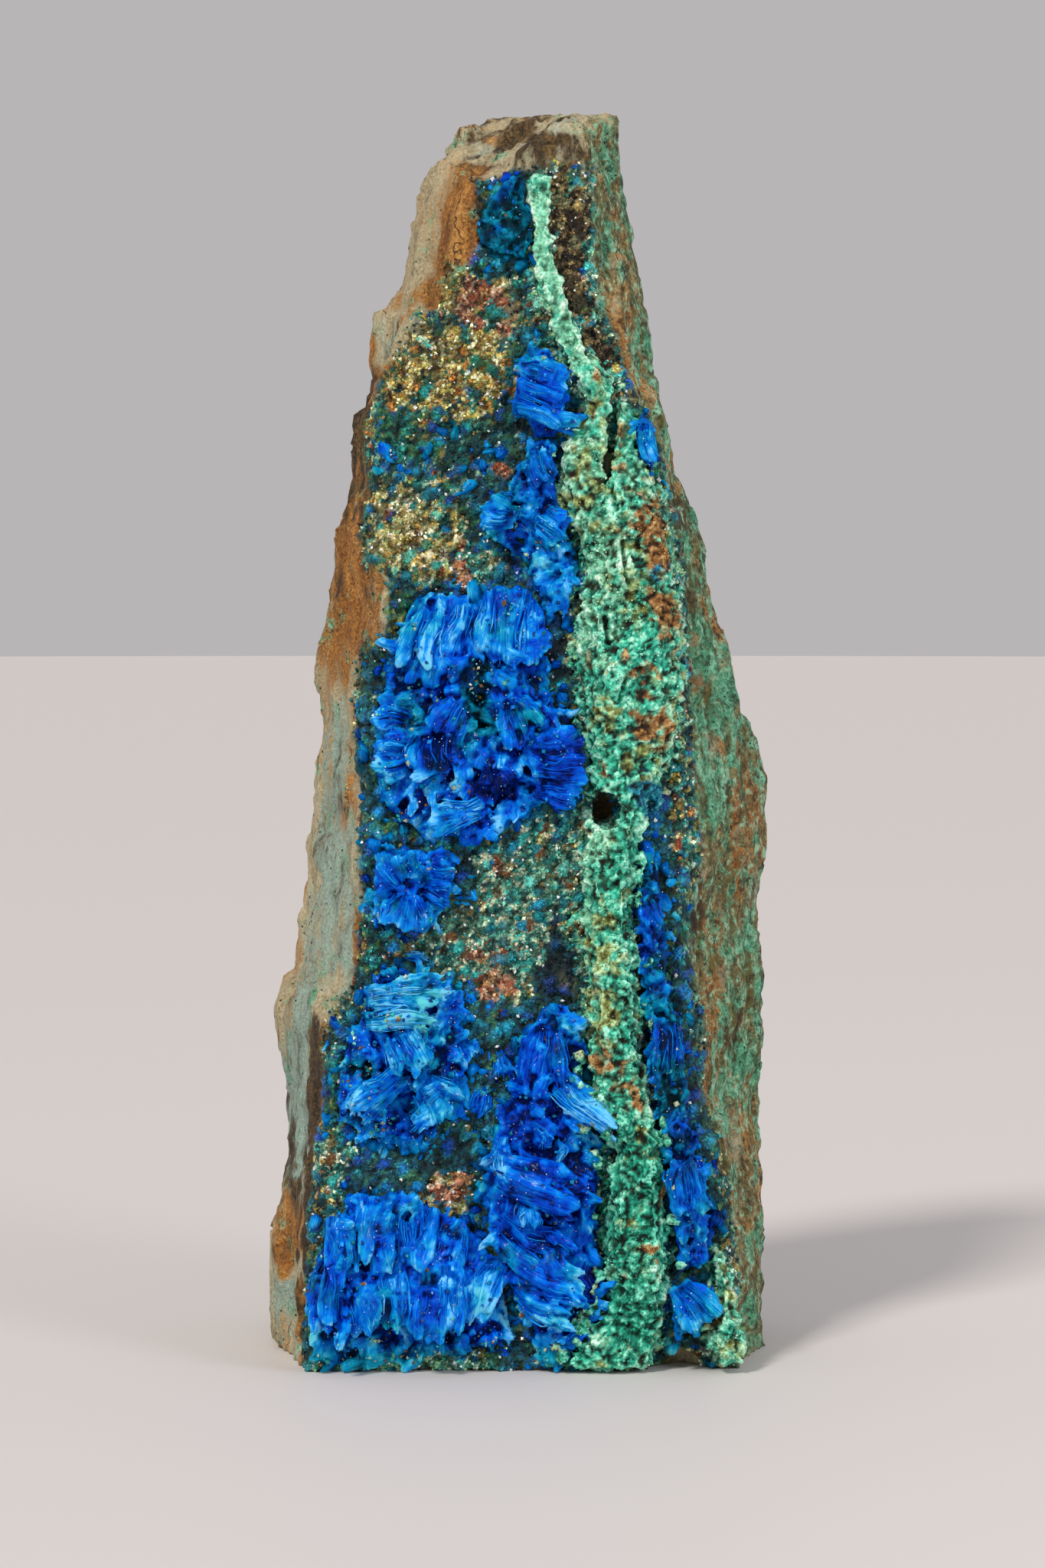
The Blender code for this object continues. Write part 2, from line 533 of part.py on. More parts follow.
def spray_mesh(crust, spray, rng):
    """One spray as a closed block, ridged along its fibres, with a ragged free end."""
    ridges = RIDGES if spray.span > NARROW_SPRAY else 1
    pitch = spray.span * MM / ridges
    reach = [spray.length * MM * rng.uniform(0.82, 1.06) for _ in range(ridges)]
    level = max(LOWEST_ROOT, spray.z)
    bed = front_bed(spray.x * MM, level * MM) - crust_stand(crust, spray.x, level)
    root = Vector((spray.x * MM, bed, level * MM))
    half_span = turned(spray.heading + 90) * spray.span * MM / 2
    rise = math.radians(spray.lift)
    bm = block_grid((2 * ridges, 1, CURLED_RINGS if abs(spray.curl) > SLIGHT_CURL else 1))
    for vert in bm.verts:
        u, v, w = vert.co
        share = (w + 1) / 2
        column = round((u + 1) * ridges)
        on_ridge = column % 2 == 1
        length = reach[min(column // 2, ridges - 1)] * (1 if on_ridge else VALLEY_REACH)
        heading = spray.heading + spray.spread * u / 2 + spray.curl * share / 2
        forward = turned(heading) * math.cos(rise) - Vector((0, math.sin(rise), 0))
        out = forward.cross(turned(heading + 90))
        height = pitch * (RIDGE_HEIGHT if on_ridge else VALLEY_HEIGHT) * (1 - TIP_THINNING * share)
        depth = height if v < 0 else -SPRAY_SINK * (1 - SINK_LOSS * share)
        vert.co = root + half_span * u + forward * (share * (length + SPRAY_ROOT) - SPRAY_ROOT) + out * depth
    return bm


def keep_largest_piece(obj):
    """Drops the loose crumbs that a cut leaves beside the main body."""
    bm = bmesh.new()
    bm.from_mesh(obj.data)
    bm.verts.ensure_lookup_table()
    unseen = set(bm.verts)
    pieces = []
    while unseen:
        front = [unseen.pop()]
        piece = set(front)
        while front:
            vert = front.pop()
            near = {edge.other_vert(vert) for edge in vert.link_edges} - piece
            piece |= near
            unseen -= near
            front.extend(near)
        pieces.append(piece)
    largest = max(pieces, key=len)
    crumbs = [vert for piece in pieces if piece is not largest for vert in piece]
    bmesh.ops.delete(bm, geom=crumbs, context="VERTS")
    bm.to_mesh(obj.data)
    bm.free()


def cutter_copy(obj, collection):
    copy = bpy.data.objects.new(f"{obj.name}_clearance", obj.data.copy())
    collection.objects.link(copy)
    copy.hide_render = True
    copy.display_type = "WIRE"
    return copy


def forward_copy(obj, collection):
    """The rock brought forward by the fit gap, so that a crust cut by it clears the front face."""
    copy = cutter_copy(obj, collection)
    copy.location.y = -FIT_GAP
    return copy


def grown_copy(obj, collection):
    """A piece swollen by the fit gap, so that a neighbour cut by it clears it."""
    copy = cutter_copy(obj, collection)
    swell = copy.modifiers.new("swell", "DISPLACE")
    swell.strength = FIT_GAP
    swell.mid_level = 0
    return copy


def make_mass(name, crusts, cutters, collections, material):
    """Crusts and sprays joined in one solid, cut to lie on their neighbours with the fit gap."""
    parts, helpers = collections
    rng = random.Random(name)
    obj = new_object(name, crust_grid(crusts[0]), parts, material)
    for crust in crusts[1:]:
        grown = new_cutter(f"{name}_crust", crust_grid(crust), helpers)
        add_boolean(obj, grown, "UNION", "MANIFOLD")
    for crust in crusts:
        for spray in crust.sprays:
            grown = new_cutter(f"{name}_spray", spray_mesh(crust, spray, rng), helpers)
            add_boolean(obj, grown, "UNION", "MANIFOLD")
    thin = obj.modifiers.new("fewer facets", "DECIMATE")
    thin.ratio = KEPT_FACETS
    for cutter in cutters:
        add_boolean(obj, cutter, "DIFFERENCE", "MANIFOLD")
    apply_modifiers(obj)
    keep_largest_piece(obj)
    return obj


def floor_slab():
    """A slab under the specimen that trims its crystals just above the surface it stands on."""
    bm = bmesh.new()
    bmesh.ops.create_cube(bm, size=1)
    bmesh.ops.scale(bm, verts=bm.verts, vec=SLAB)
    bmesh.ops.translate(bm, verts=bm.verts, vec=(0, 0, FOOT_CLEARANCE - SLAB.z / 2))
    return bm


def centre_on_base(collection):
    """Moves every piece alike, so that the bounding box is centred over the origin."""
    points = [vert.co for obj in collection.objects for vert in obj.data.vertices]
    x = (min(point.x for point in points) + max(point.x for point in points)) / 2
    y = (min(point.y for point in points) + max(point.y for point in points)) / 2
    for obj in collection.objects:
        obj.data.transform(Matrix.Translation((-x, -y, 0)))


def main():
    for obj in list(bpy.data.objects):
        bpy.data.objects.remove(obj)
    parts = bpy.data.collections.new("chalcanthite_specimen")
    helpers = bpy.data.collections.new("cutters")
    bpy.context.scene.collection.children.link(parts)
    bpy.context.scene.collection.children.link(helpers)
    collections = (parts, helpers)
    stone = new_material("host_rock", ROCK_COLOUR, 0.85)
    green = new_material("green_crust", GREEN_COLOUR, 0.75)
    blue = new_material("chalcanthite", BLUE_COLOUR, 0.3)

    rock = make_rock(parts, stone)
    clearances = [forward_copy(rock, helpers)]
    hollows = make_hollows(helpers)
    for cutter in hollows.values():
        add_boolean(rock, cutter, "DIFFERENCE")
    apply_modifiers(rock)
    keep_largest_piece(rock)
    clearances.append(new_cutter("floor", floor_slab(), helpers))
    open_front = [hollows[name] for name in FRONT_HOLLOWS]
    for name, crusts in GREEN_MASSES.items():
        make_mass(name, crusts, (*clearances, *open_front), collections, green)
    for name, (crust,) in GREEN_MASSES.items():
        block = new_cutter(f"{name}_block", crust_grid(crust), helpers)
        clearances.append(grown_copy(block, helpers))
    for name, crusts in BLUE_MASSES.items():
        make_mass(name, crusts, clearances, collections, blue)
    centre_on_base(parts)


main()
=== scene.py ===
"""Looks of the chalcanthite specimen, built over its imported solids.

The solids give every place: each piece here is remeshed from one of them or grown on it. Sizes in
millimetres are turned to metres with MM. Places on the front are given as (x, height) from the
middle line of the vein, which lies at VEIN_SHIFT in the frame.
"""

import math
from collections import namedtuple

import bmesh
import bpy
import numpy as np
from mathutils import Matrix, Vector, noise
from mathutils.bvhtree import BVHTree
from mathutils.kdtree import KDTree


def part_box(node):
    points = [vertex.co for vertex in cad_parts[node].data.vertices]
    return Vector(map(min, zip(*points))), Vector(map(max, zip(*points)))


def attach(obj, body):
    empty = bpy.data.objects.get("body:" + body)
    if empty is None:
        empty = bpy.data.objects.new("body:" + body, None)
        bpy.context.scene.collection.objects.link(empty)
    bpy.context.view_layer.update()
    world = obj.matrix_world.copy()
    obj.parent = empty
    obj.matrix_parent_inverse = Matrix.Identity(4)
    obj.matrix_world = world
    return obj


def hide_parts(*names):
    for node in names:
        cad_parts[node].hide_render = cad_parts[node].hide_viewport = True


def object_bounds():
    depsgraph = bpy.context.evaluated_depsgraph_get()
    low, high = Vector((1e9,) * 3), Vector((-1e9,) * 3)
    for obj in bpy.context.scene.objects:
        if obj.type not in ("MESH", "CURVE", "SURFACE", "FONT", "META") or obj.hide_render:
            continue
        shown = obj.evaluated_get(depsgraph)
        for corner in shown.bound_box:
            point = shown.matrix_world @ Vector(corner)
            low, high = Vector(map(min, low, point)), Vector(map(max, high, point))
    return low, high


bl_info = {
    "name": "Chalcanthite specimen",
    "version": (1, 0, 0),
    "blender": (4, 5, 0),
    "location": "3D View > Sidebar > Specimen",
    "description": "Blue fibrous chalcanthite and a green crust on a wedge of host rock",
    "category": "Add Mesh",
}

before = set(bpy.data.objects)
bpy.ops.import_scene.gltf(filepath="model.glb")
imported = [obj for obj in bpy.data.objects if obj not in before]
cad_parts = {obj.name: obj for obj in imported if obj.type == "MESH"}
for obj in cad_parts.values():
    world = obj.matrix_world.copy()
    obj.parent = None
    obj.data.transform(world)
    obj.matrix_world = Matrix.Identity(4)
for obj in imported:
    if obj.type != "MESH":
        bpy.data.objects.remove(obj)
CAD_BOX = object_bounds()

MM = 0.001
# The frame is centred on the bounding box, and the measured places on the vein's middle line.
VEIN_SHIFT = Vector((0.402, 1.312, 0)) * MM
# Nothing grows past the solids' box, less this margin.
BOX_MARGIN = 0.02 * MM

BLUE_NODES = [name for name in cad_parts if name.startswith("chalcanthite")]
GREEN_NODES = ["green_rib", "green_foot"]


# Colours

def linear(code):
    """An sRGB hex colour as linear red, green, blue and alpha."""
    shares = [int(code[place:place + 2], 16) / 255 for place in (1, 3, 5)]
    return tuple(s / 12.92 if s <= 0.04045 else ((s + 0.055) / 1.055) ** 2.4 for s in shares) + (1.0,)


# Each kind of druse: the flecks of its ground, the colours of the small wet lumps on it, the rim
# around a lump, and the share of places that carry a lump.
Druse = namedtuple("Druse", "ground lumps rim share")
DRUSE = {
    "ochre": Druse(
        ("#C8B860", "#DCD68C", "#B0803A", "#7A8A3C", "#E6E6B4", "#6A4E22", "#B8A454", "#2E6A4A", "#B87A38"),
        ("#0A5A5E", "#0E6A50", "#0A5478", "#2E5A34", "#0A4A46"), "#D8CC86", 0.40),
    "brick": Druse(
        ("#A4583A", "#8A4426", "#C89470", "#DCBC9C", "#6A3420", "#B8744E", "#B08A5A"),
        ("#7A3418", "#2E5A3A", "#9A5030", "#0E6460"), "#E0C8A8", 0.30),
    "cream": Druse(
        ("#DED89C", "#C6C478", "#A29448", "#C8A456", "#96B27A", "#EEE8C0", "#726430", "#44785A"),
        ("#2E9A8A", "#0E7A74", "#9A4A22", "#5FC0A4", "#0A5E78", "#7A3A1A"), "#F0ECC8", 0.45),
    "lagoon": Druse(
        ("#0A4444", "#0E6058", "#06302E", "#0A5258", "#2A5A34", "#0C5A66", "#0A3840"),
        ("#0A5E9E", "#0A4E80", "#0C80B0", "#0A6A76", "#087A98", "#0648A0"), "#8CBCA0", 0.8),
    "teal": Druse(
        ("#0A4A44", "#083430", "#12685A", "#3A6A34", "#0C5A5A", "#8A8A4A"),
        ("#0E7A74", "#128A86", "#0C6A78", "#0A5A50"), "#2EA08C", 0.65),
    "mixed": Druse(
        ("#268A82", "#12504E", "#6CA68C", "#48745A", "#38AA9C", "#B8D0AE", "#146462", "#6E6A44"),
        ("#2EA49C", "#1684A0", "#6E4A26", "#5FC0B0", "#0E6A72", "#0E8088"), "#D6DEBA", 0.62),
    "turquoise": Druse(
        ("#6FCFB8", "#4FAE98", "#A8D8A0", "#2E8C78", "#C8E4C8", "#1E7A7A"),
        ("#4CC8C0", "#8FE4CC", "#2AA8B0"), "#D0F0DC", 0.45),
    "umber": Druse(
        ("#3A2E20", "#1A140E", "#5E4C30", "#8E7A4C", "#14100A", "#4A3E2A", "#A8945C", "#4E5E44", "#7A7A58"),
        ("#A08C54", "#7E6C42", "#1E1A12", "#34301E"), "#120F0A", 0.25),
    "shallows": Druse(
        ("#0A4450", "#0E6272", "#0A3234", "#104844", "#0C5474", "#2E6A50"),
        ("#0C78B4", "#0A5AA4", "#1492B0", "#0A6A80", "#0648A0"), "#2E9CA0", 0.70),
    "deep": Druse(
        ("#062A3A", "#04202A", "#08384A", "#0A3A30", "#052030"),
        ("#0A4A78", "#063A70", "#0A5A7A", "#04306A"), "#0A4A58", 0.60),
}

# Where each kind shows on the front: x, height, half width and half height in millimetres, and
# strength.
DRUSE_ZONES = {
    "brick": (
        (-5, 122, 3.6, 4.4, 1), (-2.6, 103, 0.8, 1, 1.6), (-6.8, 92.2, 2.6, 3.2, 1.1),
        (-4.6, 48.4, 4.6, 1.7, 1.5), (-3.6, 44, 4, 2.6, 1.7), (-2.8, 57.8, 1.4, 1.8, 0.9),
        (-15.6, 47.6, 1.6, 1.4, 0.7), (-8.2, 21.2, 3.6, 1.5, 2), (14.6, 75, 2, 2.4, 1.4),
    ),
    "ochre": (
        (-8.4, 125, 1.6, 5, 0.8), (-7, 115, 8.5, 5, 0.9), (-22.6, 18, 1.4, 5, 0.9),
        (15.6, 96, 1.4, 3.4, 1.3),
    ),
    "cream": (
        (-1.2, 127.4, 2, 4.4, 1), (-2.4, 116.4, 2.2, 3, 0.8), (-9.6, 102.6, 1, 0.8, 1.4),
        (-13.2, 98, 3.8, 4.6, 1), (-10.8, 94, 5, 4, 1), (0.6, 60, 3, 2.6, 0.6), (0.6, 42, 2, 3, 1),
        (-7.4, 45.4, 1.6, 1.6, 1), (-8.8, 20.8, 5.2, 2.4, 1.5),
    ),
    "teal": (
        (-10.6, 113.8, 1.7, 1.6, 1), (-3.6, 121.6, 1.5, 1.4, 1.2), (-13.6, 107, 3, 2.6, 1),
        (-13.6, 87, 2.6, 2.4, 0.9),
    ),
    "lagoon": (
        (-5.8, 131.2, 3, 3.8, 1.5), (0.2, 119, 1.8, 2.2, 1.2), (-9, 103.6, 7.5, 4.4, 1.2),
        (-2, 106.5, 3.6, 2.6, 1.2),
    ),
    "umber": ((-5.4, 104.4, 1.6, 1, 1.4), (4.6, 128, 2.6, 11, 1.9), (8.4, 114, 2, 8, 1.5)),
    "mixed": (
        (-3.6, 92.4, 3.6, 3.2, 0.8), (1, 57, 6.4, 6.5, 1), (-5.5, 48.6, 8.5, 4.6, 1),
        (-20.6, 22, 2.6, 5.4, 1.2), (7.8, 108.6, 2, 2.2, 1.2), (19.6, 44, 1.2, 12, 0.5),
    ),
    "deep": ((3.6, 86, 2.2, 8, 1.6), (4, 58, 1, 8, 1), (3.4, 44, 2.4, 7, 1.3)),
    "shallows": (
        (-3.5, 36, 6, 8, 1.1), (-12.5, 24, 8, 4, 1.2), (16.4, 90.5, 1.5, 1.7, 1.7),
        (15.4, 65, 2, 2.6, 1.7), (17.6, 28, 2.4, 18, 0.8),
    ),
    "turquoise": ((-16, 1.4, 10, 2.4, 2), (8.6, 125, 0.9, 6, 1.5), (16, 92, 2.4, 14, 0.7)),
}

# Stains on the rock's sides and top, measured like the zones. The dark patch at x 9.4 and height 65 is
# painted shade in a hollow.
STAINS = {
    "rust": (
        (-17.6, 109, 2.4, 9, 0.9), (-18.8, 95, 2.8, 7, 0.9), (-18, 86, 2, 5.4, 1),
        (-18.3, 76, 0.7, 6.5, 0.9), (-22.4, 90, 2.4, 7, 0.5), (-17, 88.6, 0.9, 2.2, 0.7),
        (-19, 46, 0.6, 9, 0.8), (-22.4, 30, 0.8, 10, 0.6), (-27.4, 14.6, 1.8, 3.6, 1.2),
        (-25.2, 5, 1.4, 4.6, 0.9), (-27, 42, 1.6, 6, 0.35), (-6.4, 132, 2.6, 6, 1.3),
        (-9, 124, 1.6, 6, 0.8), (-1, 142, 5, 1.6, 0.25), (12.4, 116, 2.6, 7, 0.4), (17, 103, 2.4, 6, 0.5),
        (26.6, 60, 2.4, 7, 0.3), (19.4, 80, 1.6, 8, 0.5), (22.4, 48, 2.6, 8, 0.3), (25.4, 57, 1.6, 4, 0.5),
        (21.4, 50, 1.2, 3, 0.5), (24.6, 70, 2, 5, 0.5), (20.8, 82, 1.4, 6, 0.5), (21, 34, 1.6, 6, 0.4),
        (22.4, 92, 1, 3, 0.4),
    ),
    "green": (
        (20.4, 95, 1.2, 5, 0.4), (23, 80, 4.6, 11, 0.3), (26, 40, 2.6, 8, 0.35), (22.4, 66, 2.4, 3.6, 0.6),
        (20.6, 73, 1.6, 3, 0.5), (25, 30, 3, 4, 0.4), (23.6, 78, 1.6, 3, 0.5),
    ),
    "dark": (
        (-18.4, 112, 1.2, 7, 0.4), (-21.4, 92, 0.5, 4, 0.6), (-23.4, 26, 1.5, 14, 1.5),
        (-24.6, 12, 1.3, 8, 1.3), (-27, 21, 1.2, 5, 0.6), (4.2, 139.6, 4.6, 3, 0.7),
        (-1, 142.4, 7, 2.4, 0.6), (17.8, 96, 0.9, 8, 0.6), (18.6, 70, 0.8, 14, 0.5), (23, 10, 1.6, 8, 0.4),
        # The last patch on the next line is painted shade in a hollow of the front.
        (-18.4, 105, 2.2, 9, 0.75), (20.4, 52.8, 0.5, 2.8, 1.2), (24.6, 38, 1, 2, 1), (9.4, 65, 3, 4, 2),
    ),
    "wash": (
        (-20.8, 72, 1.2, 9, 0.7), (-22.6, 62, 1.2, 16, 0.8), (-20, 52, 1.6, 12, 0.7),
        (-26.2, 29, 1.8, 10, 0.9), (-27.4, 6, 2, 4, 0.9), (-24.8, 44, 1.2, 8, 0.6), (-4.8, 141, 2, 1, 0.5),
        (24, 24, 3, 16, 0.35), (19.8, 50, 0.9, 10, 0.6), (26.6, 56, 1.2, 6, 0.7), (22.6, 45, 1, 2, 0.7),
    ),
}

# Ledges down the left edge: the height of each one's brink, its length below and how far it
# stands out, in millimetres.
LEDGES = (
    (121.6, 9, 1.1), (109.8, 8, 0.9), (97, 7, 0.6), (83, 8, 0.5), (60, 8, 0.5), (43, 9, 0.7),
)
# Where the front has hardly any druse: x, height, half width, half height and share without it.
BARE_PATCHES = ((-7.2, 132, 2.2, 6.5, 1), (-17, 88, 1.6, 4.5, 0.9))


# Ways to read and make meshes

def noise_at(points, sizes, octaves, seed):
    """Repeatable noise between about -1 and 1.

    sizes: how large its lumps are in millimetres, as one number or along x, y and z.
    """
    scaled = points / (np.array(sizes) * MM) + np.array((seed, 2.31 * seed, -1.73 * seed))
    return np.array([noise.fractal(Vector(point), 1.0, 2.0, octaves) for point in scaled])


def cells_at(points, sizes, seed):
    """For each point, the distance to its cell's middle and a number of the cell's own, 0 to 1."""
    scaled = points / (np.array(sizes) * MM) + seed
    distances, numbers = [], []
    for point in scaled:
        near, middles = noise.voronoi(Vector(point))
        distances.append(near[0])
        numbers.append(noise.cell(middles[0] * 7.31) / 2 + 0.5)
    return np.array(distances), np.array(numbers)


def picked(palette, numbers):
    """A palette's colours for numbers from 0 to 1."""
    paints = np.array([linear(code)[:3] for code in palette])
    return paints[np.minimum((numbers * len(paints)).astype(int), len(paints) - 1)]


def smooth_step(start, end, values):
    """0 before start and 1 past end, with a soft rise between them."""
    share = np.clip((values - start) / (end - start), 0, 1)
    return share * share * (3 - 2 * share)


def vein_places(places):
    """x and height of places, in millimetres from the foot of the vein's middle line."""
    return (places[:, 0] - VEIN_SHIFT.x) / MM, places[:, 2] / MM


def oval(x, z, mid_x, mid_z, wide, high):
    """How far places lie from the middle of an oval patch, 1 at its rim."""
    return np.hypot((x - mid_x) / wide, (z - mid_z) / high)


def vertex_arrays(mesh):
    """Places and normals of a mesh's vertices."""
    places = np.empty(3 * len(mesh.vertices))
    normals = np.empty(3 * len(mesh.vertices))
    mesh.vertices.foreach_get("co", places)
    mesh.vertex_normals.foreach_get("vector", normals)
    return places.reshape(-1, 3), normals.reshape(-1, 3)


def kept_in_box(places):
    """Places held within the solids' box."""
    low = np.array(CAD_BOX[0]) + BOX_MARGIN
    high = np.array(CAD_BOX[1]) - BOX_MARGIN
    return np.clip(places, low, high)


def set_places(mesh, places):
    """Moves a mesh's vertices."""
    mesh.vertices.foreach_set("co", kept_in_box(places).ravel())
    mesh.update()


def add_attribute(mesh, name, values):
    """Numbers or colours for each vertex, which the materials read by name."""
    values = np.asarray(values, dtype=float)
    if values.ndim == 1:
        mesh.attributes.new(name, "FLOAT", "POINT").data.foreach_set("value", values)
        return
    colours = np.ones((len(values), 4))
    colours[:, :values.shape[1]] = values
    mesh.attributes.new(name, "FLOAT_COLOR", "POINT").data.foreach_set("color", colours.ravel())


def add_vectors(mesh, name, values):
    """A vector for each vertex, which the materials read by name."""
    mesh.attributes.new(name, "FLOAT_VECTOR", "POINT").data.foreach_set("vector", values.ravel())


def linked(name, data):
    """A new object in the scene."""
    obj = bpy.data.objects.new(name, data)
    bpy.context.scene.collection.objects.link(obj)
    return obj


def finished(name, mesh, material, replaced=(), smooth=True):
    """Puts a mesh in the scene as a piece of the specimen."""
    obj = linked(name, mesh)
    mesh.materials.clear()
    mesh.materials.append(material)
    mesh.polygons.foreach_set("use_smooth", [smooth] * len(mesh.polygons))
    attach(obj, "root")
    if replaced:
        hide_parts(*replaced)
    return obj


def merged_copy(node):
    """A solid's faces, joined up."""
    bm = bmesh.new()
    bm.from_mesh(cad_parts[node].data)
    bmesh.ops.remove_doubles(bm, verts=bm.verts[:], dist=1e-6)
    return bm


def remeshed(name, bm, voxel, softening):
    """A fine, even skin over closed shapes that may run into each other, with its facets softened."""
    rough = bpy.data.meshes.new(f"{name}_rough")
    bm.to_mesh(rough)
    bm.free()
    obj = linked(f"{name}_rough", rough)
    remesh = obj.modifiers.new("even mesh", "REMESH")
    remesh.mode = "VOXEL"
    remesh.voxel_size = voxel
    graph = bpy.context.evaluated_depsgraph_get()
    mesh = bpy.data.meshes.new_from_object(obj.evaluated_get(graph))
    mesh.name = name
    bpy.data.objects.remove(obj)
    bpy.data.meshes.remove(rough)
    bm = bmesh.new()
    bm.from_mesh(mesh)
    for _ in range(softening):
        bmesh.ops.smooth_vert(
            bm, verts=bm.verts[:], factor=0.5, use_axis_x=True, use_axis_y=True, use_axis_z=True)
    bm.to_mesh(mesh)
    bm.free()
    return mesh


def softened(mesh, values, rounds):
    """Values of a mesh's vertices, evened out with those of their neighbours."""
    links = np.empty(2 * len(mesh.edges), dtype=np.int32)
    mesh.edges.foreach_get("vertices", links)
    links = links.reshape(-1, 2)
    starts, ends = np.concatenate([links, links[:, ::-1]]).T
    count = np.bincount(starts, minlength=len(values))
    for _ in range(rounds):
        near = np.stack([np.bincount(starts, column[ends], len(values)) for column in values.T], axis=1)
        values = (values + near / count[:, None]) / 2
    return values


def standing_out(mesh, rounds, reach):
    """How far each vertex stands out of its softened surroundings, -1 to 1 for the given reach."""
    places, normals = vertex_arrays(mesh)
    rise = ((places - softened(mesh, places, rounds)) * normals).sum(axis=1)
    return np.clip(rise / reach, -1, 1)


def template_arrays(bm):
    """A template's vertices and triangles, to be repeated."""
    bmesh.ops.triangulate(bm, faces=bm.faces[:])
    bm.verts.ensure_lookup_table()
    places = np.array([vert.co[:] for vert in bm.verts])
    triangles = np.array([[vert.index for vert in face.verts] for face in bm.faces])
    bm.free()
    return places, triangles


def joined_mesh(name, places, triangles):
    """One mesh of many copies: places is (copies, vertices, 3), with the same triangles in each."""
    copies, count = places.shape[:2]
    corners = (triangles[None] + count * np.arange(copies)[:, None, None]).reshape(-1, 3)
    mesh = bpy.data.meshes.new(name)
    mesh.vertices.add(copies * count)
    mesh.vertices.foreach_set("co", kept_in_box(places.reshape(-1, 3)).ravel())
    mesh.loops.add(corners.size)
    mesh.loops.foreach_set("vertex_index", corners.ravel())
    mesh.polygons.add(len(corners))
    mesh.polygons.foreach_set("loop_start", np.arange(0, corners.size, 3))
    mesh.update(calc_edges=True)
    return mesh


def grain_template():
    """A grain: a small crystal of eight faces."""
    bm = bmesh.new()
    bmesh.ops.create_uvsphere(bm, u_segments=4, v_segments=2, radius=1)
    return template_arrays(bm)


def turns(rng, count):
    """Random turns in space, as (count, 3, 3)."""
    quaternions = rng.normal(size=(count, 4))
    quaternions /= np.linalg.norm(quaternions, axis=1)[:, None]
    w, x, y, z = quaternions.T
    rows = (
        (1 - 2 * (y * y + z * z), 2 * (x * y - z * w), 2 * (x * z + y * w)),
        (2 * (x * y + z * w), 1 - 2 * (x * x + z * z), 2 * (y * z - x * w)),
        (2 * (x * z - y * w), 2 * (y * z + x * w), 1 - 2 * (x * x + y * y)),
    )
    return np.moveaxis(np.array(rows), 2, 0)


def grains_mesh(name, middles, radii, rng, uneven):
    """Many grains in one mesh, each turned and stretched its own way."""
    places, triangles = grain_template()
    count = len(middles)
    stretch = 1 + uneven * rng.uniform(-1, 1, (count, 1, 3))
    shaped = places[None] * stretch * radii[:, None, None]
    turned = np.einsum("nij,nkj->nki", turns(rng, count), shaped)
    return joined_mesh(name, turned + middles[:, None], triangles), len(places)


def surface_tree(*objects):
    """A search tree over some objects' faces."""
    bm = bmesh.new()
    for obj in objects:
        bm.from_mesh(obj.data)
    tree = BVHTree.FromBMesh(bm)
    bm.free()
    return tree


def solid_tree(nodes):
    """A search tree over some solids' faces."""
    return surface_tree(*[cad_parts[name] for name in nodes])


def cast_from_front(tree, x, height):
    """The first place and normal that a line going back along +Y meets, or None."""
    start = Vector((x, CAD_BOX[0][1] - 1 * MM, height))
    place, normal, _, _ = tree.ray_cast(start, Vector((0, 1, 0)))
    return (place, normal) if place else None


# Materials

def new_material(name):
    """An empty material."""
    material = bpy.data.materials.new(name)
    material.use_nodes = True
    material.node_tree.nodes.clear()
    return material


def add_node(material, kind, settings=None, links=None, output=0):
    """Adds a node and gives one of its outputs.

    settings are its properties, socket values and ramp stops; links feed its sockets.
    """
    node = material.node_tree.nodes.new(f"ShaderNode{kind}")
    for key, value in (settings or {}).items():
        if key == "stops":
            ramp = node.color_ramp
            while len(ramp.elements) < len(value):
                ramp.elements.new(0.5)
            for element, (place, colour) in zip(ramp.elements, value):
                element.position = place
                element.color = linear(colour)
        elif isinstance(key, int) or key in node.inputs:
            node.inputs[key].default_value = value
        else:
            setattr(node, key, value)
    for key, source in (links or {}).items():
        material.node_tree.links.new(source, node.inputs[key])
    return node.outputs[output] if node.outputs else None


# The rock's patterns: size in millimetres, detail and roughness. The grain is the schist's own, and
# the others are patches where it has weathered differently.
ROCK_PATTERNS = {
    "streaks": (2.4, 8, 0.66),
    "veins": (3, 9, 0.72),
    "mottle": (4.2, 9, 0.7),
    "flecks": (1.3, 5, 0.68),
    "grain": (0.42, 3, 0.75),
}
# The rock's colours from its darkest grains to its lightest: place and colour of each stop.
ROCK_RAMPS = {
    "fresh": ((0.30, "#6E6246"), (0.42, "#A29472"), (0.52, "#C2B692"), (0.66, "#E2D6B8")),
    "olive": ((0.36, "#29240F"), (0.45, "#5E5428"), (0.53, "#867A42"), (0.63, "#B4AA76")),
    "wash": ((0.32, "#5E7064"), (0.46, "#8C9F92"), (0.56, "#A0BCAE"), (0.68, "#C0DCCF")),
    "rust": ((0.34, "#422408"), (0.45, "#86541E"), (0.54, "#B27A34"), (0.66, "#D8AC66")),
    "green": ((0.36, "#164430"), (0.44, "#3C8A62"), (0.52, "#62B088"), (0.62, "#A8DCBA")),
    "dark": ((0.36, "#140F0A"), (0.48, "#3A2C18"), (0.58, "#6A5228"), (0.70, "#A88A50")),
}
# Stains from the lowest layer up: ramp, the pattern that frays it and how strongly.
ROCK_LAYERS = (
    ("wash", "streaks", 1.6), ("rust", "streaks", 1.6), ("green", "mottle", 2.6), ("dark", "veins", 2.4),
)
# Flecks of the right face: iron-stained clay, dark iron oxide and pale mint crust. Colour, pattern,
# and where they start and end in it.
SIDE_FLECKS = (
    ("#6C6428", "veins", 0.53, 0.61), ("#261C0C", "flecks", 0.49, 0.38), ("#A4E0BC", "flecks", 0.55, 0.64),
)
# Mixes colours instead of single values.
RGBA = {"data_type": "RGBA"}


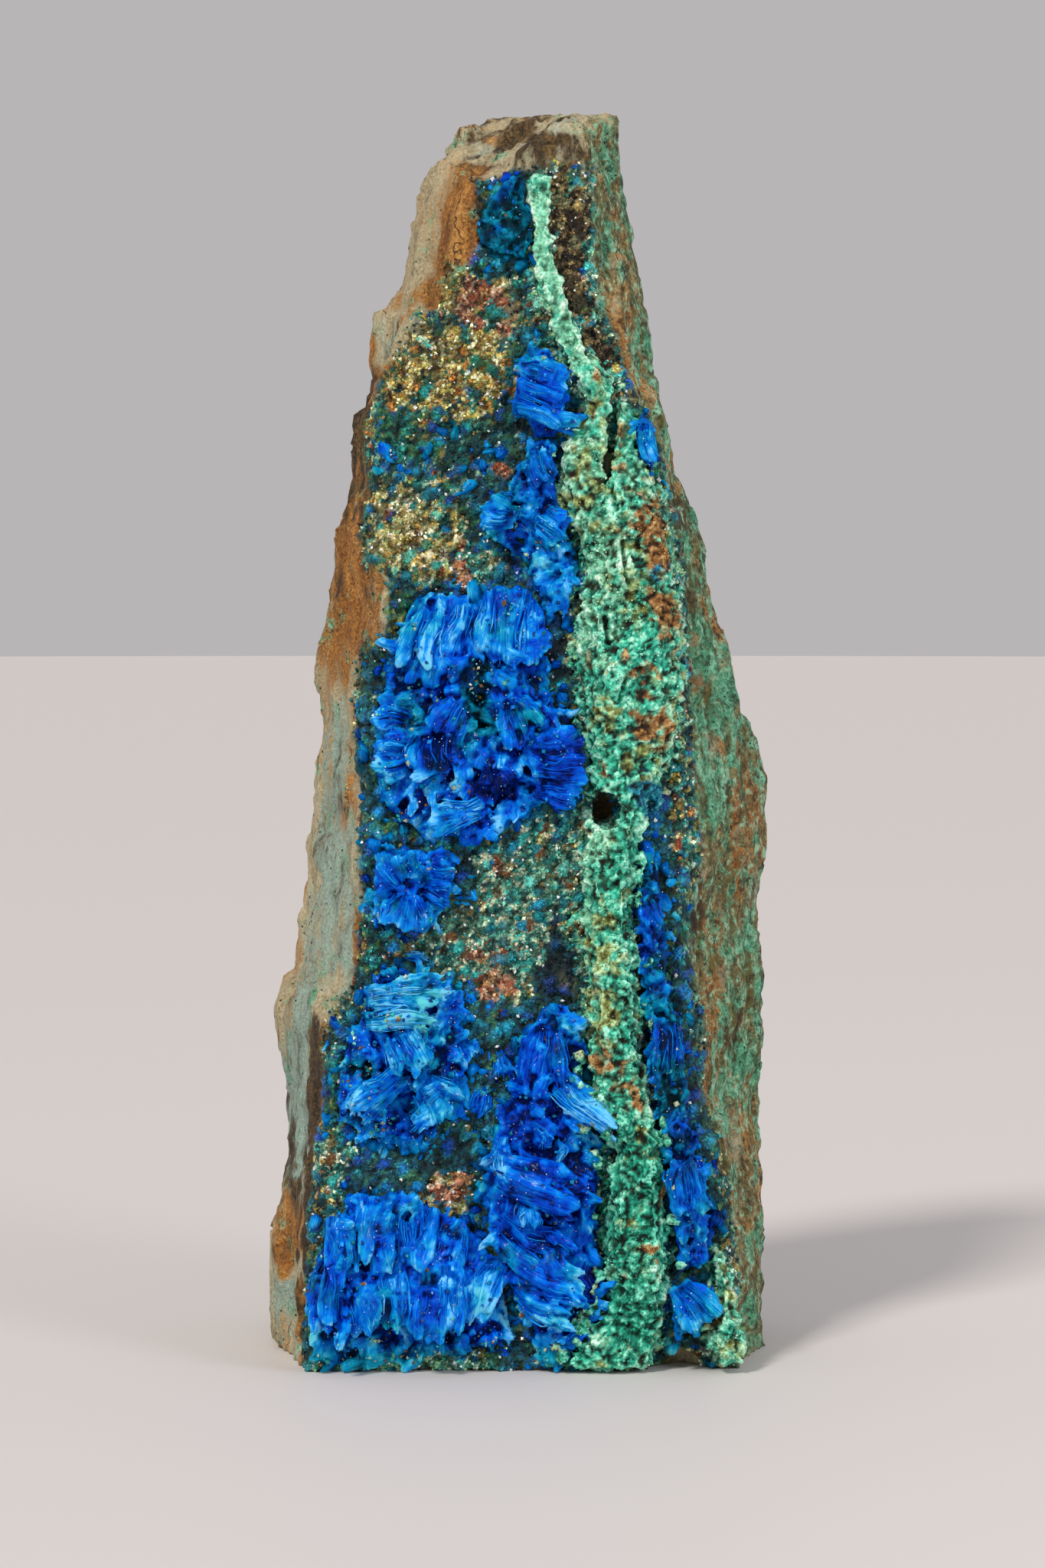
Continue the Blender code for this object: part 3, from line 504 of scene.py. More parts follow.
def rock_patterns(material):
    """The rock's patterns by name, and the coordinates that they're drawn on."""
    coords = add_node(material, "TexCoord", output="Object")
    # Partings run upright, so streaks are drawn out about six times along the height.
    drawn = add_node(material, "Mapping", {"Scale": (1, 1, 0.16)}, {"Vector": coords})
    # Veins are drawn out three times, and lie aside so that they don't follow the streaks.
    aside = {"Location": (0.05, 0.02, 0.07), "Scale": (1, 1, 0.35)}
    vectors = {"streaks": drawn, "veins": add_node(material, "Mapping", aside, {"Vector": coords})}
    patterns = {}
    for name, (size, detail, roughness) in ROCK_PATTERNS.items():
        settings = {"Scale": 1 / (size * MM), "Detail": detail, "Roughness": roughness}
        patterns[name] = add_node(material, "TexNoise", settings, {"Vector": vectors.get(name, coords)})
    return patterns, coords, drawn


def stain_mask(material, weight, pattern, contrast, fray):
    """Where a stain shows: its own places, broken up by a pattern and frayed by the grain."""
    swing = {"operation": "MULTIPLY_ADD", 1: 2 * contrast, 2: -contrast}
    uneven = add_node(material, "Math", swing, {0: pattern})
    edge = add_node(material, "Math", {"operation": "ADD"}, {0: weight, 1: uneven})
    edge = add_node(material, "Math", {"operation": "ADD"}, {0: edge, 1: fray})
    soft = {"interpolation_type": "SMOOTHSTEP", "From Min": 0.16, "From Max": 0.9}
    return add_node(material, "MapRange", soft, {"Value": edge})


def stained_rock(material, patterns):
    """The rock's ground with its stains over it, and the flecks of its right face."""
    stain = add_node(material, "Attribute", {"attribute_name": "stain"}, output="Color")
    stain = add_node(material, "SeparateColor", None, {"Color": stain}).node.outputs
    wash = add_node(material, "Attribute", {"attribute_name": "wash"}, output="Fac")
    sides = add_node(material, "Attribute", {"attribute_name": "sides"}, output="Fac")
    weights = {"wash": wash, "rust": stain["Red"], "green": stain["Green"], "dark": stain["Blue"]}
    blend = add_node(material, "Mix", {0: 0.55}, {2: patterns["streaks"], 3: patterns["grain"]})
    paints = {
        name: add_node(material, "ValToRGB", {"stops": stops}, {"Fac": blend})
        for name, stops in ROCK_RAMPS.items()
    }
    colour = add_node(material, "Mix", RGBA, {0: sides, 6: paints["fresh"], 7: paints["olive"]}, 2)
    fray = add_node(material, "Math", {"operation": "SUBTRACT", 1: 0.5}, {0: patterns["grain"]})
    for name, pattern, contrast in ROCK_LAYERS:
        mask = stain_mask(material, weights[name], patterns[pattern], contrast, fray)
        colour = add_node(material, "Mix", RGBA, {0: mask, 6: colour, 7: paints[name]}, 2)
    for paint, pattern, start, end in SIDE_FLECKS:
        span = {"From Min": start, "From Max": end, "To Max": 0.9}
        fleck = add_node(material, "MapRange", span, {"Value": patterns[pattern]})
        fleck = add_node(material, "Math", {"operation": "MULTIPLY"}, {0: fleck, 1: sides})
        colour = add_node(material, "Mix", {**RGBA, 7: linear(paint)}, {0: fleck, 6: colour}, 2)
    return colour


def rock_specks(material, patterns, coords, drawn):
    """Where the rock has black specks or hair cracks, and where it has cracks alone."""
    # Mica and ore grains a quarter of a millimetre across read as black specks.
    cells = add_node(material, "TexVoronoi", {"Scale": 1 / (0.85 * MM)}, {"Vector": coords})
    speck = add_node(material, "MapRange", {"From Min": 0.22, "From Max": 0.12}, {"Value": cells})
    span = {"From Min": 0.46, "From Max": 0.56}
    few = add_node(material, "MapRange", span, {"Value": patterns["mottle"]})
    speck = add_node(material, "Math", {"operation": "MULTIPLY"}, {0: speck, 1: few})
    # Partings are hair cracks a few millimetres apart and many times as long.
    wander = add_node(material, "TexNoise", {"Scale": 1 / (1.6 * MM), "Detail": 3}, {"Vector": coords}, 1)
    bend = {"operation": "MULTIPLY_ADD", 1: (1.2 * MM,) * 3}
    bent = add_node(material, "VectorMath", bend, {0: wander, 2: drawn})
    edges = {"feature": "DISTANCE_TO_EDGE", "Scale": 1 / (2.6 * MM)}
    parting = add_node(material, "TexVoronoi", edges, {"Vector": bent})
    crack = add_node(material, "MapRange", {"From Min": 0.022, "From Max": 0.0}, {"Value": parting})
    span = {"From Min": 0.54, "From Max": 0.62}
    rare = add_node(material, "MapRange", span, {"Value": patterns["streaks"]})
    crack = add_node(material, "Math", {"operation": "MULTIPLY"}, {0: crack, 1: rare})
    return add_node(material, "Math", {"operation": "MAXIMUM"}, {0: speck, 1: crack}), crack


def rock_material(look):
    """Altered, iron-stained schist: dull and fine grained, tan where fresh, with rusty partings."""
    material = new_material("weathered_schist")
    patterns, coords, drawn = rock_patterns(material)
    colour = stained_rock(material, patterns)
    speck, crack = rock_specks(material, patterns, coords, drawn)
    colour = add_node(material, "Mix", {**RGBA, 7: linear("#1E1A14")}, {0: speck, 6: colour}, 2)

    # The druse's colours, with their painted shade, cover the front.
    tint = add_node(material, "Attribute", {"attribute_name": "tint"}, output="Color")
    druse = add_node(material, "Attribute", {"attribute_name": "druse"}, output="Fac")
    limits = {"From Min": 0.35, "From Max": 0.65, "To Min": 0.25, "To Max": 1.6}
    shade = add_node(material, "MapRange", limits, {"Value": patterns["grain"]})
    tint = add_node(material, "VectorMath", {"operation": "SCALE"}, {0: tint, "Scale": shade})
    colour = add_node(material, "Mix", RGBA, {0: druse, 6: colour, 7: tint}, 2)

    relief = {0: patterns["grain"], 1: patterns["streaks"]}
    height = add_node(material, "Math", {"operation": "ADD"}, relief)
    height = add_node(material, "Math", {"operation": "SUBTRACT"}, {0: height, 1: crack})
    height = add_node(material, "Math", {"operation": "ADD"}, {0: height, 1: patterns["flecks"]})
    bump = add_node(material, "Bump", {"Strength": 1.0, "Distance": look.bump_height}, {"Height": height})
    wet = add_node(material, "Attribute", {"attribute_name": "wet"}, output="Fac")
    rough = add_node(material, "MapRange", {"To Min": 0.7, "To Max": 0.22}, {"Value": wet})
    shader = add_node(material, "BsdfPrincipled", {"Specular IOR Level": 0.4}, {
        "Base Color": colour, "Normal": bump, "Roughness": rough})
    add_node(material, "OutputMaterial", None, {"Surface": shader})
    return material


def shaded_tint(material, size, detail, span):
    """A piece's colours with their painted shade, mottled by a noise of the given size, and the noise."""
    tint = add_node(material, "Attribute", {"attribute_name": "tint"}, output="Color")
    coords = add_node(material, "TexCoord", output="Object")
    mottle = add_node(material, "TexNoise", {"Scale": 1 / (size * MM), "Detail": detail}, {"Vector": coords})
    limits = dict(zip(("From Min", "From Max", "To Min", "To Max"), span))
    shade = add_node(material, "MapRange", limits, {"Value": mottle})
    return add_node(material, "VectorMath", {"operation": "SCALE"}, {0: tint, "Scale": shade}), mottle


def grain_material(name, roughness, coat):
    """Drusy grains, each with its own colour and painted shade: small clean faces that glint as if wet."""
    material = new_material(name)
    colour, _ = shaded_tint(material, 0.4, 2, (0.3, 0.7, 0.5, 1.5))
    shader = add_node(material, "BsdfPrincipled", {
        "Roughness": roughness, "Specular IOR Level": 0.3, "Coat Weight": coat, "Coat Roughness": 0.12,
    }, {"Base Color": colour})
    add_node(material, "OutputMaterial", None, {"Surface": shader})
    return material


# Chalcanthite from its shaded depths to its lit tips: where it is blue and where it turns to teal.
FIBRE_RAMPS = (
    (
        (0, "#00104A"), (0.12, "#002C9E"), (0.32, "#004ACC"), (0.56, "#006EDE"), (0.8, "#1496EA"),
        (1, "#70C8FC"),
    ),
    ((0, "#001A22"), (0.25, "#00465C"), (0.5, "#007698"), (0.75, "#0C9CC0"), (1, "#58CCD4")),
)


def fibre_material():
    """Chalcanthite, fibrous copper sulfate: silky along its fibres, and bright where light passes."""
    material = new_material("fibrous_chalcanthite")
    glow = add_node(material, "Attribute", {"attribute_name": "glow"}, output="Fac")
    teal = add_node(material, "Attribute", {"attribute_name": "teal"}, output="Fac")
    grow = add_node(material, "Attribute", {"attribute_name": "grow"}, output="Vector")
    # Single fibres are a few hundredths of a millimetre wide, drawn here at 0.2 mm so that they show.
    along = add_node(material, "Mapping", {"Scale": (1, 0.07, 1)}, {"Vector": grow})
    streaks = add_node(material, "TexNoise", {"Scale": 1 / (0.2 * MM), "Detail": 2}, {"Vector": along})
    coords = add_node(material, "TexCoord", output="Object")
    mottle = add_node(material, "TexNoise", {"Scale": 1 / (1.4 * MM), "Detail": 5}, {"Vector": coords})
    place = glow
    for pattern, swing in ((streaks, 0.9), (mottle, 1.1)):
        about_nought = {"operation": "MULTIPLY_ADD", 1: swing, 2: -swing / 2}
        uneven = add_node(material, "Math", about_nought, {0: pattern})
        place = add_node(material, "Math", {"operation": "ADD"}, {0: place, 1: uneven})
    blue, sea = (add_node(material, "ValToRGB", {"stops": stops}, {"Fac": place}) for stops in FIBRE_RAMPS)
    colour = add_node(material, "Mix", RGBA, {0: teal, 6: blue, 7: sea}, 2)
    bump = add_node(material, "Bump", {"Strength": 0.5, "Distance": 0.06 * MM}, {"Height": streaks})
    shader = add_node(material, "BsdfPrincipled", {
        "Roughness": 0.3, "IOR": 1.53, "Specular IOR Level": 0.03,
        "Coat Weight": 0.06, "Coat Roughness": 0.06,
    }, {"Base Color": colour, "Normal": bump, "Coat Normal": bump})
    add_node(material, "OutputMaterial", None, {"Surface": shader})
    return material


# Height of the crust's powder.
CRUST_BUMP = 0.1 * MM


def crust_material():
    """A powdery crust of copper minerals: dull, with painted shade that leaves it pale on its crests and
    dark in its crevices.
    """
    material = new_material("powdery_copper_crust")
    # The powder's grains are finer than this, and are drawn at 0.35 mm so that they show.
    colour, powder = shaded_tint(material, 0.35, 3, (0.35, 0.65, 0.6, 1.4))
    bump = add_node(material, "Bump", {"Strength": 0.8, "Distance": CRUST_BUMP}, {"Height": powder})
    shader = add_node(material, "BsdfPrincipled", {"Roughness": 0.8, "Specular IOR Level": 0.25}, {
        "Base Color": colour, "Normal": bump})
    add_node(material, "OutputMaterial", None, {"Surface": shader})
    return material


# Host rock

# The solid's front face: its depth at the foot, its lean, how far it falls back at the right, and
# how deep a hollow still counts as front.
FRONT_Y = -21 * MM
FRONT_LEAN = 0.06
FRONT_FALL_BACK = 3.0 * MM
FRONT_DEPTH = 2.4 * MM


def front_share(places):
    """1 on the front face and 0 on the other faces and in the hollows."""
    x, y, z = (places - np.array(VEIN_SHIFT)).T
    plane = FRONT_Y + FRONT_LEAN * z + FRONT_FALL_BACK * smooth_step(4 * MM, 19 * MM, x)
    return smooth_step(FRONT_DEPTH, 0.7 * FRONT_DEPTH, y - plane)


def rock_relief(places, normals, front, look):
    """How far each point of the rock moves out: chipped plates, upright partings and fine tooth."""
    _, plate = cells_at(places, (4.2, 4.2, 11), 3.1)
    _, chip = cells_at(places, (1.8, 1.8, 3.4), 8.7)
    partings = noise_at(places, (1.5, 1.5, 13), 3, 5.5)
    tooth = noise_at(places, 2.2, 4, 1.3)
    relief = look.plate_step * (plate - 0.5) + 0.35 * look.plate_step * (chip - 0.5)
    relief += look.parting_depth * partings + look.tooth_height * tooth
    left = smooth_step(-0.2, -0.7, normals[:, 0])
    for brink, length, step in LEDGES:
        below = places[:, 2] / MM - brink - tooth
        relief += step * MM * left * smooth_step(-length, 0, below) * smooth_step(0.4, -0.4, below)
    underside = smooth_step(1.5 * MM, 0.2 * MM, places[:, 2])
    return relief * (1 - front) * (1 - underside)


def refine_front(mesh):
    """Halves the mesh size on the front face, where the druse is."""
    places, _ = vertex_arrays(mesh)
    front = front_share(places) > 0.3
    bm = bmesh.new()
    bm.from_mesh(mesh)
    edges = [edge for edge in bm.edges if front[edge.verts[0].index] and front[edge.verts[1].index]]
    bmesh.ops.subdivide_edges(bm, edges=edges, cuts=1, use_grid_fill=True)
    bmesh.ops.triangulate(bm, faces=[face for face in bm.faces if len(face.verts) > 4])
    bm.to_mesh(mesh)
    bm.free()


def rock_stains(places, normals):
    """Shares of rust, green and dark, the dark also as painted shade in one hollow, of pale wash, and of the
    iron-brown ground of the sides.
    """
    x, z = vein_places(places)
    right = smooth_step(0.3, 0.7, normals[:, 0]) * (x > 0)
    drift = z + 16 * noise_at(places, (7, 7, 10), 3, 19.0)
    upper_left = smooth_step(-0.2, -0.6, normals[:, 0]) * smooth_step(62, 78, drift)
    upper_left *= smooth_step(124, 110, drift)
    back = smooth_step(0.1, 0.5, normals[:, 1])
    broad = noise_at(places, (16, 16, 30), 3, 17.0)
    shares = {
        "rust": 0.12 + 0.1 * right + 0.1 * back + 0.52 * upper_left + 0.5 * broad,
        "green": -0.06 + 0.42 * right + 0.06 * back,
        "dark": 0.02 + 0.06 * right - 0.3 * broad,
        "wash": 0.1 + 0.1 * back - 0.5 * broad,
    }
    warp = 1.2 * noise_at(places, (3, 3, 6), 3, 51.0)
    for kind, stains in STAINS.items():
        for *patch, strength in stains:
            near = smooth_step(1.4, 0.6, oval(x + warp, z + 3 * warp, *patch))
            shares[kind] += strength * (1 - back) * near
    stain = np.stack([shares[kind] for kind in ("rust", "green", "dark")], axis=1)
    return stain, shares["wash"], 0.9 * np.maximum(right, 0.5 * back)


def make_rock(look):
    """The host rock, with its druse's lumps in its front."""
    mesh = remeshed("matrix_rock", merged_copy("matrix_rock"), look.voxel, 1)
    refine_front(mesh)
    places, normals = vertex_arrays(mesh)
    front = front_share(places)
    bare = druse_bareness(places)
    colours, clump, wet, _ = druse_form(places)
    relief = rock_relief(places, normals, front, look)
    relief += look.druse_height * front * clump * (1 - 0.7 * bare)
    set_places(mesh, places + normals * relief[:, None])
    _, normals = vertex_arrays(mesh)
    stain, wash, sides = rock_stains(places, normals)
    add_attribute(mesh, "stain", stain)
    add_attribute(mesh, "wash", wash)
    add_attribute(mesh, "sides", sides)
    add_attribute(mesh, "druse", front * (1 - bare))
    # The druse's colours carry painted shade.
    add_attribute(mesh, "tint", colours)
    add_attribute(mesh, "wet", wet * front * (1 - bare))
    return finished("host_rock", mesh, rock_material(look), ["matrix_rock"])


# Druse on the front of the rock

# The size of the cells that may each carry a lump, in millimetres, and the shares of a cell that a
# lump and the rim around it reach to.
LUMP_CELL = 1.7
LUMP_REACH = 0.44
RIM_REACH = LUMP_REACH + 0.08
# What grows on the front grows where the rock's normal has less than this along Y.
FACING_FRONT = -0.35
# The druse takes no notice of crystals and crust further away than this.
DRUSE_REACH = 6 * MM
# Kinds with fewer loose grains, whose lumps show bare.
GLASSY = ("lagoon", "teal", "shallows", "deep")


def nearest_distance(points, nodes, reach):
    """How far each point is from some solids, up to reach."""
    tree = solid_tree(nodes)
    found = [tree.find_nearest(Vector(point), reach)[3] for point in points]
    return np.array([reach if distance is None else distance for distance in found])


def druse_kinds(points):
    """The kind of druse that is strongest at each point, as its place in the list of names."""
    x, z = vein_places(points)
    near_blue = smooth_step(4.2 * MM, 0.6 * MM, nearest_distance(points, BLUE_NODES, DRUSE_REACH))
    near_green = smooth_step(2.6 * MM, 0.2 * MM, nearest_distance(points, GREEN_NODES, DRUSE_REACH))
    names = list(DRUSE)
    weights = dict.fromkeys(names, 0.0)
    weights.update(
        ochre=0.3, mixed=0.42, shallows=0.42 + 0.8 * near_blue, teal=0.34 + 0.5 * near_blue,
        turquoise=0.1 + near_green)
    # The zones' edges are uneven.
    x += 1.6 * noise_at(points, 3.4, 3, 61.0)
    z += 1.6 * noise_at(points, 3.4, 3, 67.0)
    for kind, zones in DRUSE_ZONES.items():
        for *patch, strength in zones:
            weights[kind] += strength * smooth_step(1.5, 0.4, oval(x, z, *patch))
    uneven = [
        weights[name] + 0.9 * noise_at(points, 1.7, 3, 11.0 + number) for number, name in enumerate(names)
    ]
    return np.argmax(uneven, axis=0), names


def druse_patterns(points):
    """The cells that may carry lumps, the druse's own lumpiness, and its drifts of one colour."""
    flat = points * (1, 0, 1) + 0.35 * MM * noise_at(points, 0.9, 2, 3.0)[:, None]
    near, number = cells_at(flat, LUMP_CELL, 9.9)
    _, fleck = cells_at(flat, 0.7, 4.4)
    clump = 0.7 * noise_at(flat, 1.1, 4, 4.2) + 0.5 * (fleck - 0.5)
    drift = np.clip(0.5 + 0.8 * noise_at(flat, 1.9, 3, 77.0) + 0.5 * (fleck - 0.5), 0, 0.999)
    return near, number, clump, drift


def druse_form(points):
    """The druse at each point: its colour with painted shade, how far it stands out, how wet it is and if it
    is glassy.
    """
    kinds, names = druse_kinds(points)
    near, number, clump, drift = druse_patterns(points)
    # A second number for each cell, made from its first.
    other = number * 37.7 % 1
    colours = np.zeros((len(points), 3))
    wet = np.zeros(len(points))
    for index, name in enumerate(names):
        druse = DRUSE[name]
        here = kinds == index
        grown = here & (number < druse.share)
        lump = grown & (near < LUMP_REACH)
        rim = grown & ~lump & (near < RIM_REACH) & (other < 0.6)
        colours[here] = picked(druse.ground, drift[here])
        colours[rim] = linear(druse.rim)[:3]
        colours[lump] = picked(druse.lumps, other[lump])
        wet[lump] = 1
    dome = np.sqrt(np.clip(1 - (near / LUMP_REACH) ** 2, 0, 1))
    height = np.clip(np.where(wet > 0, 0.9 * dome + 0.35 * clump, clump - 0.1), -1, 1)
    # Painted shade: a lump is paler on its top and darker at its rim, and the ground is darker where it
    # sinks.
    shade = np.where(wet > 0, 0.4 + 1.1 * dome ** 2, 0.2 + 1.1 * smooth_step(-0.5, 0.5, clump))
    glassy = np.isin(kinds, [names.index(name) for name in GLASSY])
    return colours * shade[:, None], height, wet, glassy


def druse_bareness(points):
    """1 where the front is bare rock and 0 where the druse is thick."""
    x, z = vein_places(points)
    edge = 0.3 * noise_at(points, 2.2, 3, 71.0)
    bare = smooth_step(137.5, 139, z + 4 * edge)
    for *patch, share in BARE_PATCHES:
        bare = np.maximum(bare, share * smooth_step(1.2, 0.8, oval(x, z, *patch) + edge))
    return bare


def front_points(tree, box, spacing, rng):
    """Places all over the front that a line from the front meets, in a shaken grid."""
    low, high = box
    columns = np.arange(low.x, high.x, spacing)
    rows = np.arange(low.z + 0.3 * MM, high.z, spacing)
    places, normals = [], []
    for height in rows:
        for x in columns:
            hit = cast_from_front(
                tree, x + rng.uniform(-0.5, 0.5) * spacing, height + rng.uniform(-0.5, 0.5) * spacing)
            if hit:
                places.append(hit[0][:])
                normals.append(hit[1][:])
    return np.array(places), np.array(normals)


def points_on(tree, nodes, spacing, rng):
    """Places and normals all over a surface's front, within some solids' boxes."""
    found = [front_points(tree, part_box(node), spacing, rng) for node in nodes]
    return [np.concatenate(arrays) for arrays in zip(*found)]


def make_druse(look):
    """Loose grains over the rock's front, fewer where it is bare and where other minerals cover it."""
    rng = np.random.default_rng(5)
    tree = surface_tree(bpy.data.objects["host_rock"])
    places, normals = front_points(tree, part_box("matrix_rock"), look.spacing, rng)
    colours, clump, wet, glassy = druse_form(places)
    bare = np.maximum(druse_bareness(places), 0.6 * smooth_step(0.0, -0.6, clump))
    bare = np.maximum(bare, np.where(glassy, 0.6, 0.5 * wet))
    kept = (front_share(places) > 0.5) & (normals[:, 1] < FACING_FRONT) & (rng.random(len(places)) > bare)
    covered = solid_tree(BLUE_NODES + GREEN_NODES)
    open_air = [not cast_from_front(covered, place[0], place[2]) for place in places]
    kept &= np.array(open_air) | (rng.random(len(places)) < 0.12)
    places, normals, colours = places[kept], normals[kept], colours[kept]
    radii = look.grain_radius * rng.uniform(0.5, 1.4, len(places))
    middles = places + normals * (radii * rng.uniform(-0.2, 0.7, len(places)))[:, None]
    mesh, per_grain = grains_mesh("front_druse", middles, radii, rng, 0.45)
    shade = rng.uniform(0.7, 1.4, len(places))
    colours = colours * shade[:, None]
    # Three grains in a hundred are painted white as glints.
    colours[rng.random(len(places)) < 0.03] = linear("#EEF4F0")[:3]
    add_attribute(mesh, "tint", np.repeat(colours, per_grain, axis=0))
    material = grain_material("copper_druse", 0.4, 0.2)
    return finished("front_druse", mesh, material, smooth=False)


# Green crust

# Ramps from the crust's crevices to its crests, for its main part and its patches: painted shade,
# dark in the crevices and pale on the crests.
GREEN_RAMPS = {
    "turquoise": ("#14140C", "#185444", "#249C80", "#4CCAA8", "#A4EED2"),
    "pale": ("#262414", "#447C60", "#6CBC98", "#94DEBA", "#DCF8E0"),
    "deep": ("#06140E", "#084434", "#107E66", "#2CB290", "#84E4C4"),
    "brown": ("#1C120A", "#4A3016", "#7C5228", "#A07440", "#BC9C68"),
    "olive": ("#1E1C0E", "#4E5024", "#7E8440", "#9CB070", "#B8DCA8"),
    "lagoon": ("#02181E", "#043C50", "#065E80", "#0E84A0", "#5CBCC0"),
}

# Patches on the green crust, measured like the druse's zones.
GREEN_PATCHES = {
    "turquoise": (
        (9.6, 56, 2.6, 5, 0.6), (11, 40, 2.6, 12, 0.35), (14, 83, 3, 2.4, 0.8), (10.4, 76, 5, 16, 0.55),
    ),
    "pale": (
        (3.6, 122, 5, 16, 0.7), (10, 88, 3.4, 9, 0.7), (8, 60, 2, 6, 0.7), (4.6, 101.6, 2.6, 5, 0.5),
        (14.6, 31, 1.6, 3, 0.8), (11.4, 22, 1.4, 1.6, 0.7), (15.4, 10.4, 1.4, 2.4, 0.7),
        (8.6, 3.6, 2.6, 1.4, 0.8),
    ),
    "deep": ((12.8, 20, 5, 13, 0.9), (9, 5, 7, 4.6, 0.9)),
    "brown": (
        (14.8, 74.4, 2.2, 2.2, 1.6), (15.4, 95.6, 1.3, 4.2, 1.4), (13.6, 96.8, 0.8, 1.6, 1.4),
        (16.2, 85.6, 1.2, 2.6, 1.2), (13.8, 80.4, 1.6, 1.5, 1.4), (15.8, 88.8, 1.4, 1.2, 1.2),
        (14.6, 14.4, 1.2, 1.2, 1.4), (16.8, 20.4, 1, 1.6, 1.2), (9.2, 36, 1.2, 2, 1.2),
        (6.6, 61.8, 1.2, 1, 1.2), (12.4, 33, 1, 1.2, 1.2), (11, 81.2, 2.4, 1, 1), (9, 68.8, 1.2, 1, 0.9),
    ),
    "olive": (
        (7.6, 106, 2.6, 6, 0.4), (9.6, 50.6, 1.8, 4.2, 0.9), (9, 41.6, 1.8, 3.4, 1),
        (5.6, 100.6, 2.2, 3.6, 0.45), (12, 15.6, 1.6, 1.2, 0.8), (12, 88, 1.8, 1.8, 0.8),
        (9.4, 75.6, 2.2, 1.6, 1.1), (13, 70.4, 2.6, 1.4, 0.9), (13, 91.6, 1.6, 2.6, 0.8),
        (14.4, 27, 1.6, 2, 0.8),
    ),
    "lagoon": ((15.6, 92.4, 1.6, 1.3, 1.6), (14.8, 66, 2, 2.4, 1.6), (3.4, 104, 0.9, 2, 1.4)),
}
# How readily each ramp shows away from its patches.
GREEN_SHARES = {"turquoise": 0.5, "pale": 0.3, "deep": 0.25, "brown": 0.17, "olive": 0.27, "lagoon": -0.4}
# Narrow cracks in the crust, in millimetres: x, height, half length, and how far each one leans to
# the right for each millimetre down.
GREEN_CRACKS = (
    (10.4, 100.2, 1.6, 0.2), (11.8, 92.6, 2.8, 0.15), (9.7, 85, 1.6, 0.1), (11.4, 78, 1.4, -0.2),
)
CRACK_HALF_WIDTH = 0.28


def green_relief(places):
    """How far the crust's lumps stand out, from -1.6 in its cracks to 1."""
    far, _ = cells_at(places, (3, 3, 5), 2.2)
    near, _ = cells_at(places, 1.2, 7.1)
    tooth = noise_at(places, 0.9, 4, 6.1)
    x, z = vein_places(places)
    x = x + 0.25 * noise_at(places, 0.9, 2, 27.0)
    relief = 1.5 * (0.42 - far) + 0.6 * (0.45 - near) + 0.7 * tooth
    for mid_x, mid_z, reach, lean in GREEN_CRACKS:
        away = np.abs(x - mid_x - lean * (mid_z - z)) / CRACK_HALF_WIDTH
        relief -= 1.6 * smooth_step(1.5, 0.5, away) * smooth_step(1.1, 0.8, np.abs(z - mid_z) / reach)
    return np.clip(relief, -1.6, 1)


def green_colours(places, rise):
    """The crust's colour for each place, by its patch and by how far it stands out, from 0 to 1, with
    painted shade.
    """
    x, z = vein_places(places)
    names = list(GREEN_RAMPS)
    ramps = np.array([[linear(code)[:3] for code in GREEN_RAMPS[name]] for name in names])
    weights = np.zeros((len(places), len(names)))
    for column, name in enumerate(names):
        weights[:, column] = GREEN_SHARES[name] + 0.85 * noise_at(places, 1.8, 4, 21.0 + 2 * column)
    warp = noise_at(places, 1.8, 4, 39.0)
    for name, patches in GREEN_PATCHES.items():
        for *patch, strength in patches:
            away = oval(x + 1.6 * warp, z - 2.4 * warp, *patch)
            weights[:, names.index(name)] += strength * smooth_step(1.4, 0.6, away)
    # Neighbouring ramps blend over a narrow edge.
    weights = np.exp(8 * (weights - weights.max(axis=1)[:, None]))
    weights /= weights.sum(axis=1)[:, None]
    step = np.clip(rise, 0, 0.9999) * (ramps.shape[1] - 1)
    low = step.astype(int)
    share = (step - low)[:, None]
    shades = ramps[:, low] * (1 - share) + ramps[:, low + 1] * share
    return np.einsum("pk,kpc->pc", weights, shades)


def add_knobs(bm, node, look):
    """Round knobs of crust, in clusters, around a crust's rim and on what lies beside it."""
    rng = np.random.default_rng(41)
    tree = solid_tree(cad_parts)
    low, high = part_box(node)
    margin = Vector((look.knob_reach, 0, 0))
    places, normals = front_points(tree, (low - margin, high + margin), look.knob_spacing, rng)
    near = nearest_distance(places, [node], 2 * look.knob_reach)
    clump = noise_at(places, 3, 3, 67.0)
    left_foot = smooth_step(44 * MM, 36 * MM, places[:, 2])
    left_foot *= smooth_step(14 * MM, 11 * MM, places[:, 0])
    reach = look.knob_reach * (0.6 + clump + 0.5 * left_foot)
    reach *= smooth_step(116 * MM, 104 * MM, places[:, 2])
    outside = near > 0.05 * MM
    kept = (near < reach) & outside & (normals[:, 1] < FACING_FRONT)
    kept &= front_share(places) > 0.9
    for place in places[kept]:
        radius = look.knob_radius * rng.uniform(0.6, 1.5)
        knob = bmesh.ops.create_icosphere(bm, subdivisions=1, radius=radius)
        bmesh.ops.translate(bm, verts=knob["verts"], vec=Vector(place))


